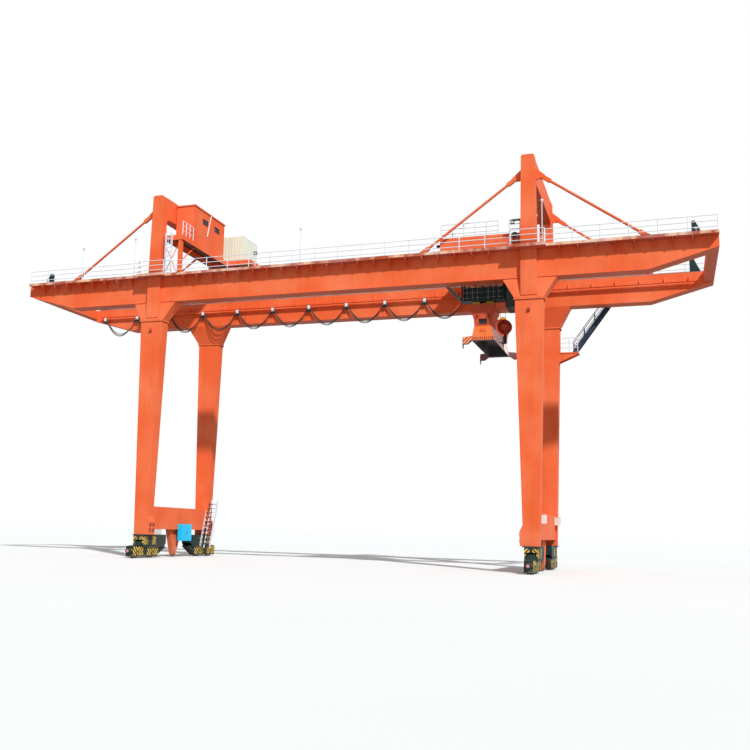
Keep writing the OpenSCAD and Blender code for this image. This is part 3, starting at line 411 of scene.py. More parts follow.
def make_rope():
    """Greased strands that wind round each rope."""
    look = Look("rope_steel", roughness=0.45, metallic=0.7)
    strand = ((look.z + (look.x + look.y)) * 260.0).math("SINE")
    return look.give(Base_Color=look.mix(look.band(strand, -1, 1), srgb(40, 38, 36), srgb(104, 100, 96)),
                     Normal=look.bump(strand, 0.5, 0.003))


def make_rubber():
    look = Look("cable_rubber", roughness=0.6)
    chalk = look.band(look.noise(7, 5), 0.4, 0.75)
    return look.give(Base_Color=look.mix(chalk, srgb(24, 25, 28), srgb(56, 56, 58)),
                     Normal=look.bump(look.noise(140, 2), 0.15, 0.002))


def make_shade_sheet_paint():
    """Dark sheet with the crossed wires of expanded metal, dark as painted shade."""
    look = Look("shade_sheet_paint", roughness=0.6)
    wires = stripes(look.x - look.z, 0.03, 0.25) | stripes(look.x + look.z, 0.03, 0.25)
    return look.give(Base_Color=look.mix(wires, srgb(20, 30, 30), srgb(48, 66, 62)),
                     Normal=look.bump(wires, 0.4, 0.004))


def make_glass():
    """Dark panes that mirror the sky, with a film of dust."""
    look = Look("window_glass")
    film = look.band(look.noise(4, 4), 0.35, 0.75)
    return look.give(Base_Color=look.mix(film, srgb(18, 26, 32), srgb(44, 54, 60)),
                     Roughness=look.band(film, 0, 1, 0.05, 0.25), Specular_IOR_Level=0.25)


def make_lens():
    look = Look("lamp_lens", roughness=0.15)
    ribs = stripes(look.x, 0.02)
    return look.give(Base_Color=look.mix(ribs, srgb(196, 204, 208), srgb(230, 234, 232)),
                     Normal=look.bump(ribs, 0.3, 0.003))


rope_steel, rubber, glass, lens, shade_sheet_paint = make_rope(), make_rubber(), make_glass(), make_lens(), make_shade_sheet_paint()
rail_steel = make_steel("rail_steel", srgb(150, 144, 138), 0.25)
wheel_steel = make_steel("wheel_steel", srgb(112, 108, 104), 0.35)

finishes = {
    orange: ["front_girder", "rear_girder", "end_beams", "front_legs", "rear_legs", "leg_heads", "sill_beams",
             "portal_posts", "portal_beams", "stays", "stay_lugs", "machine_house", "house_posts",
             "festoon_track", "leg_ladder", "anchor_fins"],
    pale: ["front_railing", "rear_railing", "lamp_poles", "house_ladder", "sill_ladder", "trolley_railing"],
    dark: ["end_stops", "festoon_carriers", "hoist_gear", "trolley_catwalk", "operator_cab"],
    platform_paint: ["house_platform"], make_landing_paint(): ["access_landing"], make_foot(): ["leg_feet"],
    make_walkway(): ["front_walkway", "rear_walkway"], rail_steel: ["trolley_rails"],
    make_room(): ["electrical_room"], rubber: ["festoon_cables"], slate: ["access_stair"],
    blue: ["blue_cabinet"], white: ["white_cabinets"], make_trolley_paint(): ["trolley_frame"],
    make_deck(): ["trolley_deck"], grey_green: ["trolley_stair"], rope_steel: ["hoist_ropes"],
    make_spreader_paint(): ["spreader_frame"], red_brown: ["rope_towers"], yellow: ["sheave_guards"],
    reel_red: ["cable_reel"], guide_blue: ["corner_guides"],
    make_hazard(): [name for name in nodes if name.startswith("bogie_")],
    wheel_steel: ["trolley_wheels"] + [name for name in nodes if name.startswith("wheel_")],
}
for material, names in finishes.items():
    for name in names:
        nodes[name].data.materials.clear()
        nodes[name].data.materials.append(material)


# Mesh building

UP = (0, 0, 1)


class Build:
    """Collects the faces of one piece, in the row frame, and makes its object."""

    def __init__(self):
        self.points, self.faces, self.looks, self.rounds = [], [], [], []
        self.materials, self.look = {}, None

    def paint(self, material):
        self.look = self.materials.setdefault(material, len(self.materials))
        return self

    def add(self, points, faces, smooth=False):
        first = len(self.points)
        self.points += [Vector(p) for p in points]
        self.faces += [[first + i for i in face] for face in faces]
        self.looks += [self.look] * len(faces)
        self.rounds += [smooth] * len(faces)

    def box(self, one, other, edge=0.003):
        """A block with cut edges between two opposite corners, in either order."""
        ends = [Vector(end) for end in zip(*map(sorted, zip(one, other)))]
        corners = [(i, j, k) for i in (0, 1) for j in (0, 1) for k in (0, 1)]
        points = [[ends[s][n] + (0 if n == axis else (edge, -edge)[s]) for n, s in enumerate(corner)]
                  for corner in corners for axis in range(3)]
        faces = [[3 * n, 3 * n + 1, 3 * n + 2] for n in range(len(corners))]
        step = (12, 6, 3)  # in the list of points, from one end to the other of each axis
        for axis, b, c in ((0, 1, 2), (1, 0, 2), (2, 0, 1)):
            near = [u * step[b] + v * step[c] for u, v in ((0, 0), (1, 0), (1, 1), (0, 1))]
            faces += [[i + s * step[axis] + axis for i in near] for s in (0, 1)]
            faces += [[i + b, i + step[axis] + b, i + step[axis] + c, i + c] for i in near]
        self.add(points, faces)

    def prism(self, outline, axis, low, high):
        """An outline in the two other axes, drawn out along one axis."""
        self.skin([[(*p[:axis], level, *p[axis:]) for p in outline] for level in (low, high)])

    def skin(self, rings, closed=False, smooth=False):
        """Joins rings of points one after another, and caps both ends of an open row."""
        count, sides = len(rings), len(rings[0])
        points, faces = sum(rings, []), []
        for i in range(count if closed else count - 1):
            m = (i + 1) % count
            for k in range(sides):
                n = (k + 1) % sides
                faces.append([i * sides + k, i * sides + n, m * sides + n, m * sides + k])
        caps = [] if closed else [list(range(sides)), list(range(len(points) - sides, len(points)))]
        self.add(points, faces if smooth else faces + caps, smooth)
        for cap in caps if smooth else []:
            self.add([points[i] for i in cap], [range(sides)])

    def lathe(self, profile, at, axis, sides=20, ring=False):
        """A profile of (radius, height) turned about an axis through a point; a ring closes on itself."""
        axis = Vector(axis).normalized()
        side = axis.orthogonal().normalized()
        other = axis.cross(side)
        self.skin([[Vector(at) + axis * height + (side * cos(a) + other * sin(a)) * radius
                    for a in circle(sides)] for radius, height in profile], ring)

    def disc(self, at, axis, radius, length, sides=20, edge=0.15):
        """A round block whose rims are cut by a share of its length."""
        cut = min(edge * length, 0.4 * radius)
        self.lathe([(radius - cut, 0), (radius, cut), (radius, length - cut), (radius - cut, length)],
                   at, axis, sides)

    def tube(self, path, radius, sides=10, closed=False):
        path = [Vector(p) for p in path]
        last = len(path) - 1
        rings, side = [], None
        for i, p in enumerate(path):
            if closed:
                ahead = path[(i + 1) % len(path)] - path[i - 1]
            else:
                ahead = path[min(i + 1, last)] - path[max(i - 1, 0)]
            ahead.normalize()
            side = ahead.orthogonal() if side is None else side - ahead * side.dot(ahead)
            side.normalize()
            other = ahead.cross(side)
            rings.append([p + (side * cos(a) + other * sin(a)) * radius for a in circle(sides)])
        self.skin(rings, closed, smooth=True)

    def bolt(self, at, axis, width):
        """A hexagon head on a washer."""
        washer = width * 0.12
        self.disc(at, axis, width * 0.75, washer, 12)
        axis = Vector(axis).normalized()
        self.lathe([(width * 0.55, 0), (width * 0.55, width * 0.36), (width * 0.42, width * 0.45)],
                   Vector(at) + axis * washer, axis, 6)

    def make(self, name):
        mesh = bpy.data.meshes.new(name)
        mesh.from_pydata(self.points, [], self.faces)
        for material in self.materials:
            mesh.materials.append(material)
        mesh.polygons.foreach_set("material_index", self.looks)
        mesh.polygons.foreach_set("use_smooth", self.rounds)
        edit = bmesh.new()
        edit.from_mesh(mesh)
        bmesh.ops.recalc_face_normals(edit, faces=edit.faces)
        edit.to_mesh(mesh)
        edit.free()
        return link(name, mesh)

    def ride(self, name, body, slot):
        piece = self.make(name)
        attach(piece, body)
        return piece


# Festoon cables and carriers between the gantry and the trolley, hung in one fixed pose; on the crane they open and
# close

CABLE_D = 0.026
CABLE_SPREAD = 0.028
CABLES = ((-1, 1.00), (0, 0.93), (1, 0.84))
CABLE_POINTS = 25
carriers_lo, carriers_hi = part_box("festoon_carriers")
cables_lo, cables_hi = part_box("festoon_cables")
FLANGE_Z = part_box("festoon_track")[0].z + 0.01
CARRIER_L = 0.13
LOOPS = 10
FESTOON_Y = (carriers_lo.y + carriers_hi.y) / 2
ANCHOR_X = carriers_lo.x + CARRIER_L / 2
TOW_X = cables_hi.x + CARRIER_L / 2
LOOP_PITCH = (TOW_X - ANCHOR_X) / LOOPS
CABLE_Z = cables_hi.z - CABLE_D / 2
CABLE_SAG = cables_hi.z - cables_lo.z - CABLE_D


def hang_cable(loop, side, share):
    x0 = ANCHOR_X + loop * LOOP_PITCH + CARRIER_L / 2
    x1 = ANCHOR_X + (loop + 1) * LOOP_PITCH - CARRIER_L / 2
    y = FESTOON_Y + side * CABLE_SPREAD
    path = []
    for i in range(CABLE_POINTS):
        t = i / (CABLE_POINTS - 1)
        path.append(Vector((x0 + (x1 - x0) * t, y, CABLE_Z - 4 * CABLE_SAG * share * t * (1 - t))))
    build = Build().paint(rubber)
    build.tube(path, CABLE_D / 2, 10)
    cable = build.make(f"festoon_cable_{loop}_{side + 1}")
    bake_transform(cable)
    return cable


def make_carrier(index):
    """A saddle on two side plates with four rollers on the track's lower flange."""
    x, saddle_z = ANCHOR_X + index * LOOP_PITCH, carriers_lo.z
    saddle_half, strap_half, plate_half = 0.045, 0.04, 0.003
    plate_y, plate_top, plate_foot = 0.037, FLANGE_Z + 0.05, saddle_z + 0.04
    roller_x, roller_z = 0.042, FLANGE_Z + 0.0255
    roller, pin = (0.011, 0.025, 0.017, 16), (0.028, 0.008, 0.018, 10)
    arch = [(0.065 * cos(a), 0.075 * sin(a)) for a in HALF_TURN]
    build = Build().paint(dark)
    build.prism([(x + p, saddle_z + q) for p, q in arch], 1, FESTOON_Y - saddle_half, FESTOON_Y + saddle_half)
    for side in SIDES:
        y = FESTOON_Y + side * plate_y
        build.paint(pale)
        build.prism([(x - 0.06, plate_top), (x - 0.03, plate_foot), (x + 0.03, plate_foot), (x + 0.06, plate_top)],
                    1, y - plate_half, y + plate_half)
        build.paint(wheel_steel)
        for end in SIDES:
            for aside, radius, length, sides in (roller, pin):
                build.disc((x + end * roller_x, FESTOON_Y + side * aside, roller_z), (0, side, 0),
                           radius, length, sides)
    build.paint(pale)
    build.prism([(x + 0.9 * p, cables_hi.z - 0.012 + 0.2 * q) for p, q in arch], 1,
                FESTOON_Y - strap_half, FESTOON_Y + strap_half)
    carrier = build.make(f"festoon_carrier_{index}")
    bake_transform(carrier)
    return carrier


cables = [hang_cable(loop, side, share) for loop in range(LOOPS) for side, share in CABLES]
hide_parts("festoon_cables")
carriers = [make_carrier(index) for index in range(LOOPS)]
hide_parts("festoon_carriers")


# Hoist ropes down to the spreader, drawn at one fixed length; on the crane they lengthen as the spreader goes down

ROPE_D = 0.014
ROPE_STEP = 0.06
ropes_lo, ropes_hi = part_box("hoist_ropes")
ROPE_X = (0.12, 0.3)
ROPE_Y = ropes_hi.y - ROPE_D / 2


def make_ropes():
    build = Build().paint(rope_steel)
    count = round((ropes_hi.z - ropes_lo.z) / ROPE_STEP)
    for x in [side * value for side in SIDES for value in ROPE_X]:
        for y in (-ROPE_Y, ROPE_Y):
            build.tube([(TROLLEY_X + x, y, ropes_hi.z + (ropes_lo.z - ropes_hi.z) * i / count)
                        for i in range(count + 1)], ROPE_D / 2, 10)
    ropes = build.make("hoist_rope_falls")
    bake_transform(ropes)
    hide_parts("hoist_ropes")


make_ropes()


# Gantry details

legs_lo, legs_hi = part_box("front_legs")


def make_flange_bolts():
    """Two rows of bolts round the flanges between the legs and their heads."""
    build = Build().paint(dark)
    half_x, half_y, thick, width = legs_hi.x - LEG_X - 0.016, 0.2 + 0.014, 0.025, 0.018
    spots = [(u * half_x, v / 3 * half_y) for u in SIDES for v in range(-3, 4)]
    spots += [(u / 8 * half_x, v * half_y) for u in range(-7, 8) for v in SIDES]
    for side, end in CORNERS:
        for up in SIDES:
            for x, y in spots:
                build.bolt((side * LEG_X + x, end * LEG_Y + y, legs_hi.z + up * thick), (0, 0, up), width)
    build.ride("flange_bolts", "gantry", "dark_green_paint")


def make_house_details():
    """Window frames and panes, and the pale pipe on the wall."""
    lo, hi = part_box("machine_house")
    eave, window_w, window_h, bar, inset = 0.03, 0.39, 0.2, 0.016, 0.012
    wall_x, wall_lo, wall_len = hi.x - eave, lo.y + eave, hi.y - lo.y - 2 * eave
    sill_z = lo.z + (hi.z - lo.z) * 0.62
    head_z = sill_z + window_h
    build = Build()
    for share in (0.347, 0.742):
        y = wall_lo + wall_len * share
        left, right = y - window_w / 2, y + window_w / 2
        build.paint(glass)
        build.box((wall_x - 0.022, left + inset, sill_z + inset),
                  (wall_x - 0.012, right - inset, head_z - inset), 0.001)
        build.paint(dark)
        for edge, inner in ((left, left + bar), (right, right - bar)):
            build.box((wall_x - 0.024, edge, sill_z), (wall_x + 0.006, inner, head_z), 0.002)
        for z in (sill_z, head_z - bar):
            build.box((wall_x - 0.024, left, z), (wall_x + 0.008, right, z + bar), 0.002)
        build.box((wall_x - 0.02, y - 0.006, sill_z), (wall_x - 0.004, y + 0.006, head_z), 0.001)
    build.ride("house_windows", "gantry", "dark_green_paint")
    pipe = Build().paint(pale)
    pipe_x, into_wall = wall_x + 0.022, wall_x - 0.002
    pipe.tube([(pipe_x, -0.13, hi.z - 0.045), (pipe_x, -0.15, hi.z - 0.12), (pipe_x, -0.34, lo.z + 0.6),
               (pipe_x, -0.36, lo.z + 0.51), (into_wall, -0.365, lo.z + 0.48)], 0.018, 10)
    for y, z in ((-0.19, lo.z + 1.13), (-0.31, lo.z + 0.72)):
        pipe.box((into_wall, y - 0.03, z - 0.012), (wall_x + 0.026, y + 0.03, z + 0.012))
    pipe.ride("house_wall_pipe", "gantry", "pale_paint")


def make_ladder_cage():
    """Hoops and straps round the house ladder."""
    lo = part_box("house_ladder")[0]
    build = Build().paint(pale)
    x, y, radius, squeeze, stretch = lo.x + 0.25 / 2, lo.y + 0.026, 0.16, 0.79, 1.1
    levels = [lo.z + 0.66 + 0.22 * i for i in range(5)]

    def spot(a, z):
        return x + radius * cos(a) * squeeze, y - radius * stretch * sin(a), z

    for z in levels:
        build.tube([spot(a, z) for a in HALF_TURN], 0.007, 6)
    for a in degrees(30, 60, 90, 120, 150):
        build.tube([spot(a, levels[0]), spot(a, levels[-1])], 0.006, 6)
    build.ride("house_ladder_cage", "gantry", "pale_paint")


LAMP_Y = -2.39
POLES = ((-9.3, 1.2), (-7.17, 1.39), (-0.944, 1.2), (6.79, 1.39))
POLE_BASE = (0.05, 0.012, 12)
FLOOD_SIZE = 0.7
FLOODS = ((-10.71, LAMP_Y, 0.11), (-2.55, LAMP_Y, 0.47), (11.03, LAMP_Y, 0.13), (11.14, -LAMP_Y, 0.27))


def flood(build, x, y, z):
    """A ribbed housing on a yoke, with its lens turned down and outwards."""
    def outline(points):
        return [(y + math.copysign(FLOOD_SIZE, y) * v, z + FLOOD_SIZE * w) for v, w in points]

    def block(low, high):
        build.box(*(Vector((x, y, z)) + FLOOD_SIZE * Vector(corner) for corner in (low, high)), 0.001)

    half, glass_half, yoke_half = 0.085 * FLOOD_SIZE, 0.075 * FLOOD_SIZE, 0.099
    build.paint(dark)
    housing = ((-0.045, 0.02), (0.03, 0.005), (0.048, 0.1), (0.02, 0.145), (-0.045, 0.115))
    build.prism(outline(housing), 0, x - half, x + half)
    for rib in range(5):
        u = 0.035 * (rib - 2)
        block((u - 0.004, -0.048, 0.04), (u + 0.004, 0.03, 0.148))
    for u in (-0.094, 0.094):
        block((u - 0.005, -0.012, -0.002), (u + 0.005, 0.012, 0.09))
    block((-yoke_half, -0.012, -0.008), (yoke_half, 0.012, 0.002))
    build.paint(lens)
    face = ((0.033, 0.016), (0.041, 0.014), (0.0555, 0.088), (0.0475, 0.092))
    build.prism(outline(face), 0, x - glass_half, x + glass_half)


def make_lamps():
    build = Build()
    for x, height in POLES:
        foot = (x, LAMP_Y, TOP_Z)
        build.paint(pale).disc(foot, UP, *POLE_BASE)
        build.lathe([(0.02, 0.012), (0.013, 0.08), (0.013, height - 0.05), (0.016, height - 0.04)], foot, UP, 12)
        for a in degrees(45, 135, 225, 315):
            build.bolt((x + 0.036 * cos(a), LAMP_Y + 0.036 * sin(a), TOP_Z + 0.012), UP, 0.01)
        build.lathe([(0.02, height - 0.04), (0.045, height + 0.02), (0.045, height + 0.05), (0.02, height + 0.062)],
                    foot, UP, 20)
        build.paint(lens).disc((x, LAMP_Y, TOP_Z + height - 0.012), UP, 0.036, 0.03, 20)
    for x, y, rise in FLOODS:
        build.paint(pale).disc((x, y, TOP_Z), UP, *POLE_BASE)
        build.lathe([(0.018, 0.012), (0.013, 0.03), (0.013, rise)], (x, y, TOP_Z), UP, 12)
        flood(build, x, y, TOP_Z + rise)
    post_x, arm_y, arm_z = LEG_X - 0.2278, -2.25, TOP_Z + 0.89
    arm_x = post_x - 0.256
    build.paint(dark).box((arm_x, arm_y - 0.02, arm_z), (post_x + 0.0005, arm_y + 0.02, arm_z + 0.04))
    flood(build, arm_x, arm_y, arm_z - 0.075)
    lamps = build.ride("walkway_lamps", "gantry", "pale_paint")
    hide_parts("lamp_poles")


def make_foot_covers():
    """Two rows of dark red covers on the yard side of each leg's foot; their dark red is painted shade of small
    openings.
    """
    # The covers' dark red paint is painted shade of the openings.
    build = Build().paint(reel_red)
    foot_half, slope, column_y, sunk = 0.32, 0.026, 0.1, 0.006
    for side, end in CORNERS:
        for rise in (0.15, 0.33):
            face, z = side * (LEG_X - foot_half - slope * rise), legs_lo.z + rise
            for column in SIDES:
                y = end * LEG_Y + column * column_y
                for half, proud in ((0.062, 0.008), (0.044, 0.016)):
                    build.box((face + side * sunk, y - half, z - half), (face - side * proud, y + half, z + half))
    build.ride("leg_foot_covers", "gantry", "reel_red_paint")


def make_leg_lugs():
    """A lifting lug of two half round plates on the outer face of each leg, under its flange."""
    # The lugs take the darker red brown paint as painted shade.
    build = Build().paint(red_brown)
    face, sunk, plate = -legs_lo.y - 0.03, 0.004, 0.015
    z, size = legs_hi.z - 0.33, 0.09
    for side, end in CORNERS:
        outline = [(end * (face - sunk), z - size), (end * (face - sunk), z + size)]
        outline += [(end * (face + size * cos(a)), z + size * sin(a) * 0.8)
                    for a in degrees(60, 30, 0, -30, -60)]
        for x in (-0.035, 0.02):
            build.prism(outline, 0, side * LEG_X + x, side * LEG_X + x + plate)
        build.disc((side * LEG_X - 0.045, end * (face + size * 0.55), z), (1, 0, 0), 0.016, 0.09, 12)
    build.ride("leg_lugs", "gantry", "red_brown_paint")


def make_cabinet_doors():
    """Doors, handles and hinges on the cabinets."""
    lo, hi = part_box("blue_cabinet")
    build = Build().paint(blue)
    foot, head, middle = lo.z + 0.03, hi.z - 0.03, (lo.y + hi.y) / 2
    build.box((lo.x + 0.02, lo.y - 0.008, foot), (hi.x - 0.015, lo.y + 0.002, head), 0.004)
    for a, b in ((lo.y + 0.02, middle - 0.004), (middle + 0.004, hi.y - 0.02)):
        build.box((hi.x - 0.002, a, foot), (hi.x + 0.008, b, head), 0.004)
    build.paint(rail_steel)
    for y in (middle - 0.03, middle + 0.03):
        build.box((hi.x + 0.006, y - 0.006, lo.z + 0.24), (hi.x + 0.024, y + 0.006, lo.z + 0.34), 0.003)
    for y in (lo.y + 0.016, hi.y - 0.016):
        for z in (lo.z + 0.08, hi.z - 0.08):
            build.disc((hi.x + 0.004, y, z - 0.03), UP, 0.008, 0.06, 10)
    build.ride("blue_cabinet_doors", "gantry", "blue_paint")
    lo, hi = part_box("white_cabinets")
    build = Build()
    height, half_w, rim = 0.25, 0.23 / 2, 0.015
    for end in SIDES:
        y = end * (hi.y - half_w)
        build.paint(white)
        build.box((hi.x - 0.002, y - half_w + rim, hi.z - height + rim), (hi.x + 0.007, y + half_w - rim, hi.z - rim))
        build.box((hi.x - 0.165, y - half_w - 0.008, hi.z - 0.004), (hi.x + 0.01, y + half_w + 0.008, hi.z + 0.008))
        build.paint(rail_steel).disc((hi.x + 0.004, y + 0.07, hi.z - height / 2), (1, 0, 0), 0.01, 0.012, 12)
    build.paint(white)
    face = -LEG_X + 0.19
    for y0, y1 in ((-1.88, -1.6), (-1.58, -1.28)):
        build.box((face - 0.002, y0, lo.z + 0.02), (face + 0.007, y1, lo.z + 0.165))
    build.ride("white_cabinet_doors", "gantry", "white_paint")


def make_anchor_pins():
    """The red sleeve and pin at the tip of each anchor fin, and the fin's edge plates."""
    lo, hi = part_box("anchor_fins")
    build = Build()
    fin_y, top_half, tip_half, plate_half, plate = (lo.y + hi.y) / 2, (hi.y - lo.y) / 2, 0.07, 0.06 + 0.03, 0.014
    for side in SIDES:
        x = side * LEG_X
        build.paint(orange)
        for edge in SIDES:
            top, tip = fin_y + edge * top_half, fin_y + edge * tip_half
            build.prism([(top, hi.z), (tip, lo.z), (tip + edge * plate, lo.z), (top + edge * plate, hi.z)], 0,
                        x - plate_half, x + plate_half)
        build.paint(reel_red)
        build.lathe([(0.045, 0.012), (0.06, 0.02), (0.06, 0.05), (0.092, 0.07), (0.1, 0.12), (0.1, 0.2),
                     (0.08, 0.24)], (x, fin_y, 0), UP, 24)
    build.ride("anchor_pins", "gantry", "orange_paint")


def make_gussets():
    """Thin plates under the walkways, two between each pair of brackets."""
    build = Build().paint(orange)
    pitch, plate, walk_t, fascia = 1.56, 0.01, 0.04, 0.014
    root, nose, foot_half, foot_t, leg_clear = 0.3, 0.1, 0.03, 0.008, 0.8
    root_y, nose_y = WALK_Y - WALK_W, WALK_Y - fascia
    for end in SIDES:
        outline = [(end * root_y, TOP_Z - walk_t), (end * nose_y, TOP_Z - walk_t), (end * nose_y, TOP_Z - nose),
                   (end * root_y, TOP_Z - root)]
        for third in [k for k in range(21) if k % 3]:
            for side in SIDES:
                x = side * third * pitch / 3
                if abs(abs(x) - LEG_X) > leg_clear:
                    build.prism(outline, 0, x - plate / 2, x + plate / 2)
                    build.box((x - foot_half, end * root_y, TOP_Z - root - 0.04),
                              (x + foot_half, end * (root_y + foot_t), TOP_Z - root + 0.1), 0.002)
    build.ride("walkway_gussets", "gantry", "orange_paint")


def make_ladder_stringers():
    """Deep side plates and flat treads on the ladder up to the left sill."""
    lo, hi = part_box("sill_ladder")
    build = Build().paint(pale)
    half_deep, half_tread, half_t, plate, steps = 0.055, 0.05, 0.006, 0.016, 11
    foot, head = Vector((0, 1.6, lo.z)), Vector((0, 2.13, hi.z))
    run = (head - foot).normalized()
    across, inset = Vector((0, -run.z, run.y)) * half_deep, run * (0.06 / run.z)
    outline = [foot - across + inset, foot + across + inset, head + across - inset, head - across - inset]
    for x in (lo.x - 0.004, hi.x - 0.012):
        build.prism([(p.y, p.z) for p in outline], 0, x, x + plate)
    build.paint(dark)
    for i in range(1, steps):
        p = foot + (head - foot) * i / steps
        build.box((lo.x + 0.01, p.y - half_tread, p.z - half_t), (hi.x - 0.01, p.y + half_tread, p.z + half_t), 0.002)
    build.ride("sill_ladder_stringers", "gantry", "pale_paint")


def make_stair_handrails():
    """Handrails on posts along both sides of the access stair, up to the walkway's underside."""
    lo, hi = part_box("access_stair")
    build = Build().paint(slate)
    stringer_w, height, clear, posts = 0.16, 0.42, 0.03, 5
    climb = Vector((hi.x - lo.x - stringer_w, 0, hi.z - lo.z))
    reach = (climb.z - height - clear) / climb.z
    up = Vector((0, 0, height))
    for y in (lo.y + 0.015, hi.y - 0.015):
        foot = Vector((lo.x + stringer_w / 2, y, lo.z))
        for share in (1.0, 0.5):
            build.tube([foot + up * share, foot + climb * reach + up * share], 0.011, 8)
        for k in range(posts):
            at = foot + climb * (reach * k / (posts - 1))
            build.tube([at, at + up], 0.01, 8)
    build.ride("stair_handrails", "gantry", "slate_paint")


def make_house_braces():
    """Thin crossed braces between the house's front prop and the post beside it."""
    lo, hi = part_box("house_posts")
    build = Build().paint(orange)
    x, y = (lo.x + hi.x) / 2, lo.y + 0.065
    post_x, low, high = -LEG_X + 0.2, lo.z + 0.04, hi.z - 0.06
    for z0, z1 in ((low, high), (high, low)):
        build.tube([(post_x, y, z0), (x - 0.05, y, z1)], 0.014, 8)
    build.tube([(x, y + 0.04, lo.z + 0.55), (x, y + 0.95, hi.z - 0.002)], 0.022, 8)
    build.ride("house_braces", "gantry", "orange_paint")


def make_switch_box():
    """The box and conduit on the railing before the right post."""
    build = Build().paint(dark)
    x, y, z, into_walk = LEG_X - 0.385, -WALK_Y + 0.05, TOP_Z + 0.3, TOP_Z - 0.002
    build.box((x - 0.06, y - 0.04, z), (x + 0.06, y + 0.03, z + 0.17))
    build.box((x - 0.05, y - 0.05, z + 0.015), (x + 0.05, y - 0.036, z + 0.155))
    build.tube([(x, y, z + 0.01), (x, y, into_walk)], 0.014, 8)
    build.tube([(x + 0.12, y, into_walk), (x + 0.12, y, z + 0.1), (x + 0.05, y, z + 0.13)], 0.01, 8)
    build.ride("switch_box", "gantry", "dark_green_paint")


make_flange_bolts()
make_house_details()
make_ladder_cage()
make_lamps()
make_foot_covers()
make_leg_lugs()
make_switch_box()
make_gussets()
make_ladder_stringers()
make_stair_handrails()
make_house_braces()
make_cabinet_doors()
make_anchor_pins()


# Trolley details


def make_cab_glazing():
    """Panes with proud frames on the cab's front, chin and sides."""
    lo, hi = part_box("operator_cab")
    chin_x, chin_z, rim = 0.12, 0.3, 0.05
    low, high, chin_top = lo.z + 0.36, lo.z + 0.89 - 0.08, lo.z + chin_z
    build = Build()

    def pane(foot, head, sides, out, frame_w=0.02):
        """A pane from foot to head; None in each stands for the coordinate that the two sides give."""
        def spot(end, side):
            return Vector([side if value is None else value for value in end])
        corners = [spot(foot, sides[0]), spot(foot, sides[1]), spot(head, sides[1]), spot(head, sides[0])]
        out = Vector(out)
        build.paint(glass)
        build.add([p + out * 0.002 for p in corners] + [p + out * 0.006 for p in corners],
                  [[0, 1, 2, 3], [4, 5, 6, 7], [0, 1, 5, 4], [1, 2, 6, 5], [2, 3, 7, 6], [3, 0, 4, 7]])
        build.paint(grey_green)
        for p, q in zip(corners, corners[1:] + corners[:1]):
            build.tube([p + out * 0.006, q + out * 0.006], frame_w / 2, 6)

    width = (lo.y + rim, hi.y - rim)
    pane((hi.x, None, chin_top + rim), (hi.x, None, high), width, (1, 0, 0))
    foot, head = Vector((hi.x - chin_x, 0, lo.z)), Vector((hi.x, 0, chin_top))
    p, q = foot.lerp(head, 0.12), foot.lerp(head, 0.92)
    pane((p.x, None, p.z), (q.x, None, q.z), width, Vector((chin_z, 0, -chin_x)).normalized())
    for y, out in ((lo.y, -1), (hi.y, 1)):
        pane((None, y, low), (None, y, high), (lo.x + 0.26, hi.x - 0.04), (0, out, 0))
        pane((None, y, lo.z + rim), (None, y, high), (lo.x + rim, lo.x + 0.22), (0, out, 0), 0.014)
    build.ride("cab_glazing", "trolley", "grey_green_paint")


def make_lattice():
    """Upright and level bars that fill the catwalk railing, and a dark mesh sheet behind them as painted shade."""
    lo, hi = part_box("trolley_catwalk")
    build = Build().paint(lattice_paint)
    rail_d, bar_r, bar_pitch, rim, sheet_half = 0.024, 0.006, 0.16, 0.02, 0.004
    floor = lo.z + 0.025
    top = floor + RAIL_H - rail_d / 2
    y_front, y_rear = lo.y + rim, hi.y - rim
    x0, x1 = lo.x + rim, hi.x - rim
    count = round((x1 - x0) / bar_pitch)
    for i in range(count + 1):
        x = x0 + (x1 - x0) * i / count
        build.tube([(x, y_front, floor), (x, y_front, top)], bar_r, 6)
    for k in (1, 3, 5):
        z = floor + RAIL_H * k / 6 - rail_d / 2
        build.tube([(x0, y_front, z), (x1, y_front, z)], bar_r * 0.8, 6)
    # The dark mesh sheet stands where there is only shade behind the railing: painted shade.
    build.paint(shade_sheet_paint).box((x0, y_rear - sheet_half, floor), (x1, y_rear + sheet_half, top), 0.001)
    build.ride("catwalk_lattice", "trolley", "dark_green_paint")


def make_drum_rope():
    """Rope turns on the hoist drum and cooling fins on its motor."""
    drum_x, drum_z, rope_r = TROLLEY_X - 0.86, deck_hi.z + 0.21, 0.15 + 0.006
    turns, steps = 26, 18
    build = Build().paint(rope_steel)
    for start, end in ((-0.5, -0.06), (0.06, 0.5)):
        path = []
        for i in range(turns * steps + 1):
            a = 2 * math.pi * i / steps
            path.append((drum_x + rope_r * cos(a), start + (end - start) * i / (turns * steps),
                         drum_z + rope_r * sin(a)))
        build.tube(path, 0.007, 5)
    build.paint(dark)
    motor_x, motor_z, motor_r, fins = drum_x + 0.42, deck_hi.z + 0.15, 0.09, 14
    for a in degrees(*(-20 + 220 * i / (fins - 1) for i in range(fins))):
        y, z = motor_r * cos(a), motor_r * sin(a)
        build.tube([(motor_x - 0.08, y, motor_z + z), (motor_x + 0.27, y, motor_z + z)], 0.007, 4)
    build.ride("drum_rope", "trolley", "rope_steel")


make_cab_glazing()
make_lattice()
make_drum_rope()


# Spreader details


